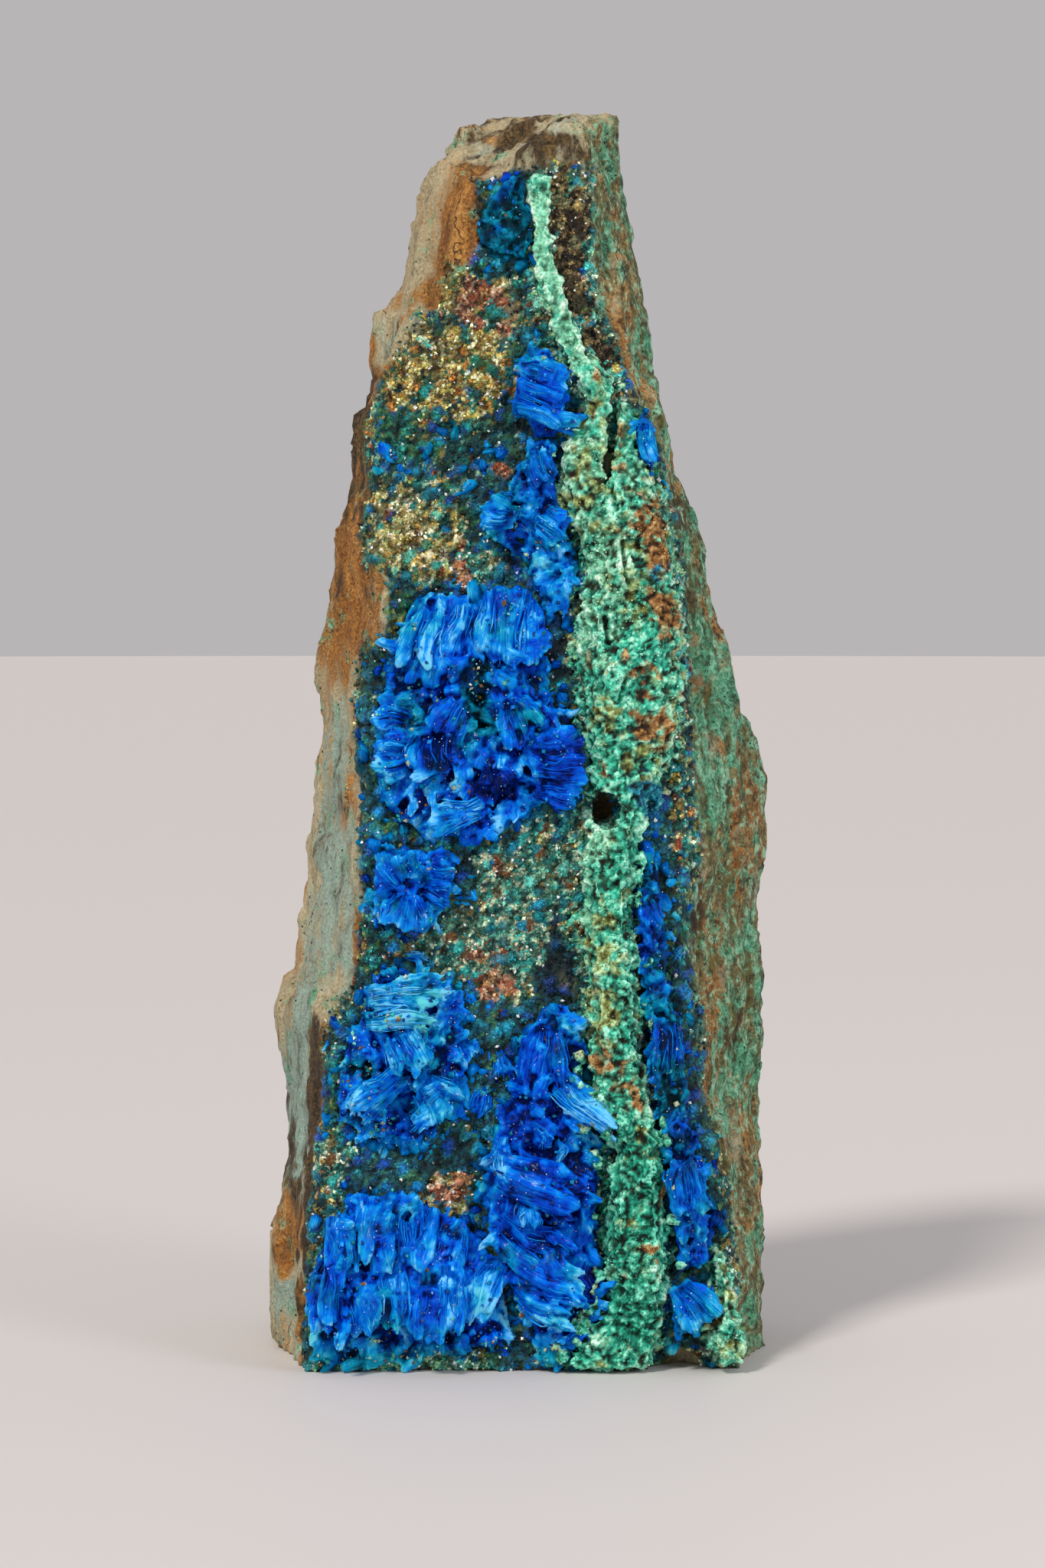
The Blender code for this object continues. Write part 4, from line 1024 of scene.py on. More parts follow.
def make_green_body(node, look):
    """One green crust: its solid with lumps, knobs and a ragged rim, with painted shade in its hollows and
    in dark painted pits.
    """
    bm = merged_copy(node)
    add_knobs(bm, node, look)
    mesh = remeshed(node, bm, look.voxel, 2)
    places, normals = vertex_arrays(mesh)
    # The narrow strip at the top is a thin, even skin.
    rugged = 1 - 0.5 * smooth_step(100 * MM, 110 * MM, places[:, 2])
    # The crust's rim is ragged, and so is the hole in it.
    ragged = noise_at(places, 1.5, 3, 33.0) * np.abs(normals[:, 0]) * np.sign(normals[:, 0])
    places[:, 0] += look.rim_raggedness * ragged
    set_places(mesh, places + normals * (look.lump_height * rugged * green_relief(places))[:, None])
    # Painted shade: the crust is darker where it lies low and paler where it stands out, with a mottle of
    # noise.
    rise = 0.58 + 0.36 * standing_out(mesh, 16, 0.16 * MM) + 0.3 * noise_at(places, 0.6, 3, 25.0)
    rise += 0.3 * noise_at(places, 2.6, 3, 35.0)
    # Dark spots painted as the shade in pits.
    rise -= 0.55 * rugged * smooth_step(0.12, 0.4, noise_at(places, 0.8, 3, 29.0))
    add_attribute(mesh, "tint", green_colours(places, rise))
    material = bpy.data.materials["powdery_copper_crust"]
    return finished(f"{node}_body", mesh, material, [node])


def make_green_grains(look):
    """Loose grains over the green crusts, thickest on their crests."""
    rng = np.random.default_rng(9)
    tree = surface_tree(*[bpy.data.objects[f"{node}_body"] for node in GREEN_NODES])
    places, normals = points_on(tree, GREEN_NODES, look.grain_spacing, rng)
    clump = green_relief(places)
    kept = rng.random(len(places)) > smooth_step(0.35, -0.25, clump)
    places, normals, clump = places[kept], normals[kept], clump[kept]
    radii = look.grain_radius * rng.uniform(0.5, 1.4, len(places))
    middles = places + normals * (radii * rng.uniform(-0.4, 0.6, len(places)))[:, None]
    mesh, per_grain = grains_mesh("green_grains", middles, radii, rng, 0.3)
    # Painted shade: grains on the crust's lumps are paler.
    rise = 0.62 + 0.2 * clump + rng.uniform(-0.25, 0.25, len(places))
    add_attribute(mesh, "tint", np.repeat(green_colours(places, rise), per_grain, axis=0))
    material = grain_material("green_crust_grains", 0.8, 0.0)
    return finished("green_grains", mesh, material)


# Blue crystals

# A spray of fibres, as the solids have it. x, z: middle of its root line, in millimetres.
# heading: the way it grows in the front plane, 0 to the right and 90 up. length: of its fibres.
# span: length of the root line. spread: angle between its outer fibres. lift: angle out of the
# front plane. curl: how far the heading turns along a fibre. glow: painted light, 0 for deep blue
# and 1 for pale azure.
Spray = namedtuple("Spray", "x z heading length span spread lift curl glow")
SPRAY_ROWS = {
    "chalcanthite_top": ((-0.4, 136.4, -88, 2.4, 1, 20, 24, 0, 0.3),),
    "chalcanthite_upper_tuft": (
        (0.2, 113, -10, 6, 7, 8, 16, -12, 0.55), (1.6, 109.2, -2, 6.2, 1.8, 6, 12, 0, 0.6),
    ),
    "chalcanthite_upper_seam": (
        (1.8, 104.6, -70, 3.6, 2.6, 30, 30, 10, 0.5), (-1.6, 98, 165, 3.6, 3, 40, 30, 0, 0.6),
        (2.6, 97.6, -35, 3.8, 3, 40, 30, 0, 0.6),
    ),
    "chalcanthite_main": (
        (-9.8, 86.8, -104, 9.2, 5, 16, 22, -4, 0.72), (-7, 87.6, -98, 6.2, 2.6, 10, 24, -4, 0.76),
        (-1.6, 88.4, -90, 8.2, 6, 10, 22, -4, 0.74), (-13.4, 75, 158, 4.4, 3.4, 34, 26, 12, 0.5),
        (-13.6, 70.4, 184, 4.6, 3.4, 34, 26, -8, 0.55), (2.2, 70.6, -4, 6, 4.6, 26, 24, 12, 0.35),
        (2.4, 67.2, -18, 5.2, 2.8, 22, 24, 10, 0.4), (-5.6, 64.4, 192, 6, 2.6, 16, 22, 10, 0.75),
        (-7.2, 76, -128, 5.2, 4, 40, 34, 10, 0.4), (-1.2, 76.4, -58, 5.4, 4, 40, 34, -10, 0.45),
        (-10.6, 72.4, -95, 4.8, 4, 40, 34, 0, 0.3),
    ),
    "chalcanthite_left": (
        (-13.6, 57, 118, 3.4, 3.4, 60, 40, 0, 0.5), (-13, 54, -100, 4, 4, 60, 36, 0, 0.6),
        (-10.4, 56, -8, 3.2, 3.4, 46, 36, 0, 0.55),
    ),
    "chalcanthite_lower_left": (
        (-17.2, 43.2, 9, 10, 2.4, 6, 14, -8, 0.95), (-17.4, 40.6, 2, 8.4, 2, 6, 16, -4, 0.9),
        (-14.6, 34, 216, 7.6, 3.4, 14, 22, 8, 0.75), (-10.8, 33, -38, 5.4, 3.6, 34, 26, -8, 0.6),
        (-14, 38.4, -62, 4.8, 4, 34, 30, 0, 0.6), (-13.8, 47.4, 8, 3.6, 1, 16, 16, -20, 0.85),
        (-9.4, 46.4, 150, 2, 1, 16, 20, 0, 0.7), (-6.6, 37.6, -60, 3, 1.8, 30, 34, 0, 0.6),
        (-9.2, 33.2, 200, 3.2, 1.4, 20, 30, 20, 0.7), (-10.4, 30.2, -140, 3.2, 1.6, 20, 30, 0, 0.75),
    ),
    "chalcanthite_lower": (
        (5.4, 32.4, -40, 10, 3.4, 8, 18, 10, 0.9), (-1.6, 23, -6, 9.8, 5, 16, 24, -22, 0.4),
        (-2, 16.6, -34, 9.8, 4.2, 14, 26, 14, 0.45), (0.6, 11.4, 10, 8.4, 3.2, 12, 28, -34, 0.7),
        (0.2, 9.4, -28, 8.6, 3, 12, 26, 22, 0.6), (-2.2, 26.6, -110, 6.2, 1, 4, 26, 40, 0.85),
        (1.4, 28.6, -8, 3.8, 1.2, 6, 26, -80, 0.7), (2.6, 38.8, -92, 7, 3.8, 18, 18, 0, 0.4),
        (-2.4, 36.2, -70, 3.2, 1.6, 24, 34, 0, 0.6), (-4.6, 31.6, -120, 3.4, 1.6, 24, 34, 0, 0.55),
        (3.8, 26, -50, 3.4, 0.8, 4, 30, -90, 0.8), (0.6, 19.8, -88, 3.4, 1.4, 10, 34, 0, 0.75),
        (-21, 18.2, -88, 6, 3, 12, 24, 0, 0.6), (-17.6, 19.8, -92, 8.8, 3.2, 12, 26, 4, 0.68),
        (-13.6, 17, -86, 6, 2.8, 12, 26, 0, 0.58), (-10.4, 18, -94, 8.4, 3, 12, 26, -4, 0.6),
        (-7, 15.8, -100, 6.2, 2.6, 14, 26, 0, 0.5), (-22.4, 12, -92, 7.8, 3.2, 16, 24, 0, 0.5),
        (-18.4, 9.6, -84, 6.2, 3, 18, 28, 0, 0.6), (-14.6, 12.4, -92, 8.4, 3, 16, 28, 6, 0.66),
        (-10.8, 8.8, -90, 6, 3, 18, 26, 0, 0.5), (-7.2, 11.8, -96, 7.6, 2.8, 16, 26, -6, 0.62),
        (-3.6, 12.4, -112, 7.6, 4.2, 18, 28, -12, 0.75),
    ),
    "chalcanthite_right_tuft": ((14, 108, -82, 4.6, 1.6, 10, 14, 0, 0.6),),
    "chalcanthite_right_seam": (
        (16.6, 39.6, -86, 6.4, 2.6, 14, 14, 0, 0.45), (18.2, 23.6, -84, 6, 2.8, 14, 14, 0, 0.5),
        (14.4, 53.6, -70, 3, 1.8, 20, 20, 0, 0.4),
    ),
    "chalcanthite_right_foot": ((18.4, 9.4, -58, 5, 3.2, 30, 22, 0, 0.6),),
}
SPRAYS = {node: [Spray(*row) for row in rows] for node, rows in SPRAY_ROWS.items()}
BLUE_GRAINS = ("#0074DC", "#0060C8", "#1890E4", "#0048A8", "#0A84B4", "#003C88", "#007CA8")
RIM_GRAINS = ("#0E7E8C", "#A8BC9C", "#1EAAAA", "#C4D0AE", "#7A5A34", "#6FC8B4", "#2EB4B0")
# Radii of the small crystals on the masses, and of the white grains among them painted as glints.
CRYSTAL_RADIUS = 0.24 * MM
GLINT_RADIUS = 0.07 * MM
# How deep under the surface locks of fibres and single lobes start.
LOCK_ROOT_DEPTH = 0.35 * MM
LOBE_ROOT_DEPTH = 0.3 * MM
# Distance between the single lobes around the masses, and how uneven their surface is.
SCATTER_SPACING = 1.15 * MM
SCATTER_RELIEF = 0.18 * MM
# The fibres' pattern steps this far from one blade to the next.
LOBE_STEP = 3 * MM
# Each mass: how far it leans from blue towards teal, the size of its lobes for the usual size, and
# how many of its lobes grow away from the sprays.
Mass = namedtuple("Mass", "teal size share")
MASSES = {
    "chalcanthite_top": Mass(0.9, 0.42, 1.0),
    "chalcanthite_upper_tuft": Mass(0.1, 0.6, 0.25),
    "chalcanthite_upper_seam": Mass(0.35, 0.7, 1.0),
    "chalcanthite_main": Mass(0.1, 1.0, 1.0),
    "chalcanthite_left": Mass(0.1, 0.8, 0.8),
    "chalcanthite_lower_left": Mass(0.25, 0.9, 1.0),
    "chalcanthite_lower": Mass(0.1, 1.0, 1.0),
    "chalcanthite_right_tuft": Mass(0.35, 0.6, 0.6),
    "chalcanthite_right_seam": Mass(0.35, 0.7, 1.0),
    "chalcanthite_right_foot": Mass(0.35, 0.8, 0.8),
}

# Pockets, bands and bright drifts on the masses: x, height, half width, half height, and how much
# brighter they are painted and how much more teal they are. The darkest pockets and pits are
# painted shade.
BLUE_SHIFTS = (
    (-1.6, 134.5, 4, 7, -0.12, 0.3), (-5.4, 79.4, 2, 2.6, -0.55, 0.7), (-3.2, 75.2, 4.8, 2.2, 0.05, 0.7),
    (-12.6, 78.6, 3, 2, -0.2, 0.3), (-9.2, 70.7, 1.8, 1.8, -0.6, 0.2), (-3.2, 67.2, 2.8, 1.8, -0.6, 0.1),
    (3, 70, 4, 3.6, -0.05, -0.5), (-14.6, 71, 2.4, 3.4, 0.2, 0.1), (-6.4, 64, 4.4, 2, 0.15, 0.2),
    (-2.2, 81.4, 3.4, 5, -0.06, 0), (-12, 81.6, 3.4, 5, 0.04, 0.12), (-12.6, 55.6, 3, 4, 0.04, 0.2),
    (16.6, 38, 3, 22, -0.16, 0.25), (0.8, 30, 4.2, 5, -0.2, -0.6), (3.6, 18.4, 4.4, 3.4, -0.15, -0.6),
    (1.4, 23.8, 4.6, 2, 0.05, -0.4), (1, 7.4, 4, 1.6, 0.15, 0), (-6, 7.6, 3, 2.6, 0.15, 0.1),
    (-15.4, 7.6, 3, 2.4, -0.1, 0.1), (-12, 40, 5, 4, 0.12, 0.3),
)

# Where the rings of a blade's prism lie along it.
BLADE_RINGS = np.array((0.0, 0.25, 0.5, 0.75, 0.92, 1.0))
# Sides of the blades' prisms.
LOBE_SIDES = 8
SMALL_LOBE_SIDES = 5
STRAND_SIDES = 4


def blade_template(sides):
    """A blade one unit long and wide, as a prism cut into rings: places, triangles and ring of each."""
    bm = bmesh.new()
    bmesh.ops.create_cone(
        bm, cap_ends=True, segments=sides, radius1=1, radius2=1, depth=1,
        matrix=Matrix.Translation((0, 0, 0.5)))
    for level in BLADE_RINGS[1:-1]:
        everything = bm.verts[:] + bm.edges[:] + bm.faces[:]
        bmesh.ops.bisect_plane(bm, geom=everything, plane_co=(0, 0, level), plane_no=(0, 0, 1))
    places, triangles = template_arrays(bm)
    rings = np.abs(places[:, 2:3] - BLADE_RINGS).argmin(axis=1)
    return places, triangles, rings


def headed(heading, lift):
    """The direction for a heading in the front plane and a lift out of it, in radians."""
    flat = np.cos(lift)
    return np.stack([np.cos(heading) * flat, -np.sin(lift), np.sin(heading) * flat], axis=-1)


# Lobes and strands are the same shape, wide or thin. tip: its width at the end. flat: its
# thickness for its width. Lengths in metres and angles in radians, one of each for every blade.
Blades = namedtuple("Blades", "root heading length lift curl droop width flat tip glow teal")
LOBE_FLATNESS = 0.5
# Size of the fine lobes between the usual ones.
FINE_LOBE = 0.5


def chosen(blades, which):
    """Some of the blades."""
    return Blades(*[field[which] for field in blades])


def all_of(groups):
    """Several groups of blades as one."""
    return Blades(*[np.concatenate(fields) for fields in zip(*groups)])


def lock_blades(root, spray, width, droop, teal, look, rng):
    """One lock: a wide lobe with thin strands along it, ragged where they end."""
    count = 4 + round((look.strands_per_lock - 4) * min(1, max(0, 1.6 * spray.glow - 0.4)))
    across = np.append(0, (np.arange(count) + rng.random(count)) * 2 / count - 1)
    thin = across != 0
    side = headed(np.radians(spray.heading + 90), np.array(0.0))
    forward = headed(np.radians(spray.heading), np.radians(spray.lift))
    out = np.cross(forward, side)
    half = width / 2
    height = LOBE_FLATNESS * half * np.sqrt(1 - 0.9 * across ** 2)
    roots = root + side * (across * half)[:, None] + out * (thin * height)[:, None]
    wave = 0.06 * np.sin(across * rng.uniform(3, 6) + rng.uniform(0, 6))
    return Blades(
        roots,
        np.radians(spray.heading + spray.spread * across / 2 + thin * rng.normal(0, 3.5, count + 1)),
        spray.length * MM * np.where(thin, rng.uniform(0.55, 1.08, count + 1), 0.92)
        * (1 - 0.15 * across ** 2),
        np.radians(spray.lift + thin * rng.normal(1.0, 1.5, count + 1)),
        np.radians(spray.curl + thin * rng.normal(0, 9, count + 1)),
        np.radians(droop + thin * rng.normal(0, 3, count + 1)),
        np.where(thin, look.strand_radius * rng.uniform(0.5, 1.5, count + 1), half),
        np.where(thin, 0.7, LOBE_FLATNESS),
        np.where(thin, 0.35, 0.55),
        spray.glow + thin * rng.normal(0.0, 0.16, count + 1) + wave,
        np.full(count + 1, teal),
    )


def blade_paths(blades):
    """Each blade's line at its rings, with its forward, side and outward directions there."""
    heading = blades.heading[:, None] + blades.curl[:, None] * BLADE_RINGS
    lift = blades.lift[:, None] - blades.droop[:, None] * BLADE_RINGS
    forward = headed(heading, lift)
    steps = blades.length[:, None] * np.diff(BLADE_RINGS)
    stride = forward[:, :-1] * steps[..., None]
    path = np.concatenate([np.zeros_like(stride[:, :1]), np.cumsum(stride, axis=1)], axis=1)
    side = headed(heading + math.pi / 2, np.zeros_like(heading))
    return path + blades.root[:, None], forward, side, np.cross(forward, side)


def tip_glow(blades, share):
    """A blade is brighter towards its tip, where light passes."""
    return np.clip(blades.glow[:, None] + 0.18 * (share - 0.5), 0, 1)


def warped(points):
    """Points moved a little this way and that, so that no edge runs straight."""
    flat = points.reshape(-1, 3)
    shift = np.stack([noise_at(flat, 3.6, 3, seed) for seed in (91.0, 93.0, 97.0)], axis=1)
    return (flat + 0.8 * MM * shift).reshape(points.shape)


def blades_mesh(name, blades, sides):
    """One mesh of all blades, each bent along its own path."""
    places, triangles, rings = blade_template(sides)
    path, _, side, out = blade_paths(blades)
    tip = blades.tip[:, None]
    ones = np.ones_like(tip)
    outline = (0.7 * ones, 0.95 * ones, ones, 0.8 + 0.2 * tip, 0.35 + 0.5 * tip, 0.2 * ones)
    outline = np.concatenate(outline, axis=1) * blades.width[:, None]
    thick = outline[:, rings] * blades.flat[:, None]
    points = path[:, rings] + side[:, rings] * (places[:, 0] * outline[:, rings])[..., None]
    points += out[:, rings] * (places[:, 1] * thick)[..., None]
    mesh = joined_mesh(name, warped(points), triangles)
    share = BLADE_RINGS[rings]
    add_attribute(mesh, "glow", tip_glow(blades, share).ravel())
    add_attribute(mesh, "teal", np.repeat(blades.teal, len(places)))
    grow = np.stack([
        places[:, 0] * outline[:, rings] + LOBE_STEP * np.arange(len(path))[:, None],
        share * blades.length[:, None], np.zeros((len(path), len(places)))], axis=-1)
    add_vectors(mesh, "grow", grow)
    return mesh


def spray_locks(spray, tree, teal, look, rng):
    """The locks of one spray, side by side along its root line, in two layers."""
    lock_width = min(look.lock_width * (0.6 + spray.length / 12), spray.span * MM / 2)
    count = max(1, round(1.4 * spray.span * MM / lock_width))
    side = headed(np.radians(spray.heading + 90), np.array(0.0))
    locks = []
    for index in range(2 * count - 1):
        upper = index < count
        share = index + 0.5 if upper else index - count + 1.0
        across = 2 * share / count - 1 + rng.uniform(-0.2, 0.2) / count
        place = Vector((spray.x, 0, spray.z)) * MM + Vector(side) * spray.span * MM / 2 * across
        hit = cast_from_front(tree, place.x + VEIN_SHIFT.x, max(place.z, 0.8 * MM))
        if not hit:
            continue
        # A lock of the lower layer is painted 0.12 darker, as shade under the upper one.
        lock = spray._replace(
            heading=spray.heading + spray.spread * across / 2 + rng.normal(0, 4.0),
            length=spray.length * rng.uniform(0.8, 1.04) * (1 if upper else 1.06), spread=8,
            lift=spray.lift + rng.normal(0, 4) - (0 if upper else 8),
            curl=spray.curl + rng.normal(0, 8),
            glow=spray.glow - 0.1 + rng.normal(0, 0.04) - (0 if upper else 0.12))
        root = np.array(hit[0]) + np.array((0, LOCK_ROOT_DEPTH, 0))
        root += headed(np.radians(lock.heading), 0.0) * spray.length * MM * rng.uniform(-0.12, 0.06)
        width = lock_width * rng.uniform(0.9, 1.4)
        locks.append(lock_blades(root, lock, width, 16, teal, look, rng))
    return locks


def blue_shifts(places):
    """How much brighter the masses are painted, with painted shade in pockets, and how much more teal they
    are at each place.
    """
    x, z = vein_places(places)
    edge = 0.35 * noise_at(places, 1.4, 3, 57.0)
    shifts = np.zeros((len(places), 2))
    for *patch, glow, teal in BLUE_SHIFTS:
        near = smooth_step(1.3, 0.7, oval(x, z, *patch) + edge)
        shifts += near[:, None] * (glow, teal)
    return shifts


def teal_share(node, places):
    """How teal a mass is at each point: more in drifts, and along the foot of the specimen."""
    drift = 0.9 * noise_at(places, 3.4, 3, 53.0)
    foot = smooth_step(4.2 * MM, 1.6 * MM, places[:, 2] + 2 * MM * drift)
    return np.clip(MASSES[node].teal + drift + foot + blue_shifts(places)[:, 1], 0, 1)


def under_sprays(places, sprays):
    """Which places lie under the sprays of a mass."""
    x, z = vein_places(places)
    under = np.zeros(len(places), dtype=bool)
    for spray in sprays:
        heading = math.radians(spray.heading + spray.curl / 2)
        along = (x - spray.x) * math.cos(heading) + (z - spray.z) * math.sin(heading)
        across = -(x - spray.x) * math.sin(heading) + (z - spray.z) * math.cos(heading)
        widening = 1 + along * math.radians(spray.spread) / max(spray.span, 1)
        beside = np.abs(across) < spray.span / 2 * widening
        under |= beside & (along > -0.6) & (along < 0.92 * spray.length)
    return under


def scattered_lobes(places, middle, teal, look, rng):
    """Short blunt lobes at the given places, that lie together in drifts a few millimetres across."""
    count = len(places)
    outward = np.arctan2(places[:, 2] - middle.z, places[:, 0] - middle.x)
    flow_x = 0.45 * np.cos(outward) + 1.5 * noise_at(places, 6, 2, 41.0)
    flow_z = 0.45 * np.sin(outward) - 0.45 + 1.5 * noise_at(places, 6, 2, 43.0)
    heading = np.arctan2(flow_z, flow_x) + rng.normal(0, 0.4, count)
    clump = noise_at(places, 3.0, 3, 47.0)
    lift = np.radians(rng.uniform(10, 65, count))
    length = look.blade_length * rng.uniform(0.5, 1.5, count) * (1 + 0.7 * clump)
    return Blades(
        places + np.array((0, LOBE_ROOT_DEPTH, 0)) - 0.35 * headed(heading, lift) * length[:, None],
        heading,
        length,
        lift,
        np.radians(rng.normal(0, 35, count)),
        lift * rng.uniform(0.4, 1.5, count),
        look.blade_width / 2 * rng.uniform(0.5, 1.6, count),
        rng.uniform(0.5, 0.9, count),
        rng.uniform(0.4, 0.75, count),
        np.clip(0.42 + 0.45 * clump + rng.normal(0, 0.04, count), 0, 0.7),
        teal,
    )


def lying_on(blades, tree, reach):
    """Which blades stay within reach of a surface all along."""
    lines = warped(blade_paths(blades)[0])
    away = [[tree.find_nearest(Vector(place))[3] for place in line] for line in lines]
    return np.max(away, axis=1) < reach


def height_over(tree, places):
    """How far each place stands over a solid's surface, negative inside it."""
    heights = np.zeros(len(places))
    for index, place in enumerate(places):
        near, normal, _, _ = tree.find_nearest(Vector(place))
        heights[index] = (Vector(place) - near).dot(normal)
    return heights


def nearest_growth(places, blades):
    """For each place its nearest blade, and how far across and along that blade it lies."""
    path, forward, side, _ = blade_paths(blades)
    rings = len(BLADE_RINGS)
    tree = KDTree(len(path) * rings)
    for index, place in enumerate(path.reshape(-1, 3)):
        tree.insert(place, index)
    tree.balance()
    nearest = np.array([tree.find(place)[1] for place in places])
    blade, ring = nearest // rings, nearest % rings
    offset = places - path[blade, ring]
    across = (offset * side[blade, ring]).sum(axis=1)
    along = BLADE_RINGS[ring] * blades.length[blade] + (offset * forward[blade, ring]).sum(axis=1)
    return blade, across, along


def mass_glow(mesh, own, tree):
    """How bright a mass is painted: own gives its blades' painted brightness, and painted shade darkens its
    gaps and depths.
    """
    places, _ = vertex_arrays(mesh)
    glow = softened(mesh, own, 3)[:, 0]
    rise = standing_out(mesh, 36, 0.36 * MM)
    # Painted shade: low places darken strongly and raised ones lighten a little; the noise varies the tone.
    glow += np.where(rise > 0, 0.22, 0.6) * rise + 0.25 * noise_at(places, 5, 2, 79.0)
    # The parts that lie within the solid are painted darker, as shade in the depths.
    glow -= 0.45 * smooth_step(-0.1 * MM, -0.8 * MM, height_over(tree, places))
    return np.clip(glow + blue_shifts(places)[:, 0], 0, 1)


def mass_blades(node, look):
    """The lobes and the strands of one mass."""
    rng = np.random.default_rng(sum(map(ord, node)))
    tree, own_tree = solid_tree(BLUE_NODES + ["matrix_rock"]), solid_tree([node])
    low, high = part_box(node)
    mass, sprays = MASSES[node], SPRAYS[node]
    places, _ = front_points(own_tree, (low, high), look.blade_spacing * mass.size, rng)
    pits = smooth_step(-0.1, -0.35, noise_at(places, 3.6, 2, 73.0))
    bare = np.maximum(np.where(under_sprays(places, sprays), 0.9, 1 - 0.88 * mass.share), pits)
    places = places[rng.random(len(places)) > bare]
    lobes = []
    for part in (1.0, FINE_LOBE):
        small = scattered_lobes(places, (low + high) / 2, teal_share(node, places), look, rng)
        lobes.append(small._replace(
            length=small.length * mass.size * part, width=small.width * mass.size * part))
        spacing = 1.5 * FINE_LOBE * look.blade_spacing * mass.size
        places, _ = front_points(own_tree, (low, high), spacing, rng)
        places = places[~under_sprays(places, sprays) & (rng.random(len(places)) < 0.7)]
    locks = [lock for spray in sprays for lock in spray_locks(spray, tree, mass.teal, look, rng)]
    lobes += [chosen(lock, slice(0, 1)) for lock in locks]
    strands = [chosen(lock, slice(1, None)) for lock in locks]
    return all_of(lobes), all_of(strands)


def sunk_copy(node, depth):
    """A mass's solid, sunk back where it faces the front, so that the lobes on it stand out."""
    bm = merged_copy(node)
    bm.normal_update()
    for vert in bm.verts:
        vert.co -= vert.normal * depth * max(0, -vert.normal.y)
    return bm


def mass_relief(node, places, normals, grow, height):
    """How far a mass moves out in front: folds all over, and ridges that run with its fibres."""
    fold = noise_at(places, 1.4, 4, 3.3)
    ridge = noise_at(grow, (0.55, 5, 1), 2, 13.0)
    relief = np.where(under_sprays(places, SPRAYS[node]), 0.18, 0.7) * fold + 0.4 * ridge
    return height * smooth_step(0.2, -0.5, normals[:, 1]) * relief


def make_blue_mass(node, look):
    """One blue mass: its solid and its lobes under one skin, and the loose fibres that lie on it."""
    lobes, strands = mass_blades(node, look)
    bm = sunk_copy(node, look.body_sink)
    lobe_mesh = blades_mesh("lobes", lobes, LOBE_SIDES)
    bm.from_mesh(lobe_mesh)
    bpy.data.meshes.remove(lobe_mesh)
    mesh = remeshed(node, bm, look.voxel, 2)
    places, normals = vertex_arrays(mesh)
    blade, across, along = nearest_growth(places, lobes)
    grow = np.stack([across + LOBE_STEP * blade, along, 0 * along], axis=-1)
    relief = mass_relief(node, places, normals, grow, look.body_relief)
    set_places(mesh, places + normals * relief[:, None])
    share = np.clip(along / lobes.length[blade], 0, 1)
    own = tip_glow(chosen(lobes, blade), share[:, None])
    add_attribute(mesh, "glow", mass_glow(mesh, own, solid_tree([node])))
    add_vectors(mesh, "grow", grow)
    add_attribute(mesh, "teal", teal_share(node, places))
    material = bpy.data.materials["fibrous_chalcanthite"]
    body = finished(f"{node}_body", mesh, material, [node])
    strands = chosen(strands, lying_on(strands, surface_tree(body), look.strand_lift))
    mesh = blades_mesh(f"{node}_fibres", strands, STRAND_SIDES)
    finished(f"{node}_fibres", mesh, material)


def make_scattered_lobes(look):
    """Small lobes on the druse around the masses."""
    rng = np.random.default_rng(29)
    tree = surface_tree(bpy.data.objects["host_rock"])
    places, normals = front_points(tree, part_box("matrix_rock"), SCATTER_SPACING, rng)
    kinds, names = druse_kinds(places)
    near = nearest_distance(places, BLUE_NODES, DRUSE_REACH)
    likely = 0.9 * (kinds == names.index("shallows")) * smooth_step(DRUSE_REACH, 1.5 * MM, near)
    likely += 0.45 * (kinds == names.index("lagoon")) * smooth_step(112 * MM, 108 * MM, places[:, 2])
    likely *= 1 - druse_bareness(places)
    kept = rng.random(len(places)) < likely
    kept &= (normals[:, 1] < FACING_FRONT) & (front_share(places) > 0.9)
    places = places[kept]
    wet_band = kinds[kept] == names.index("lagoon")
    teal = np.clip(np.where(wet_band, 0.75, 0.5) + noise_at(places, 3.4, 3, 53.0), 0, 1)
    # They grow away from a place high above the specimen.
    lobes = scattered_lobes(places, Vector((0, 0, 200 * MM)), teal, look, rng)
    size = np.where(wet_band, 0.75, 0.4 + 0.4 * smooth_step(3 * MM, 0.5 * MM, near[kept]))
    lobes = lobes._replace(
        length=lobes.length * 0.8 * size, width=lobes.width * 1.2 * size, glow=lobes.glow - 0.04)
    mesh = blades_mesh("scattered_lobes", lobes, SMALL_LOBE_SIDES)
    places, normals = vertex_arrays(mesh)
    set_places(mesh, places + normals * (SCATTER_RELIEF * noise_at(places, 0.8, 2, 83.0))[:, None])
    material = bpy.data.materials["fibrous_chalcanthite"]
    return finished("scattered_lobes", mesh, material)


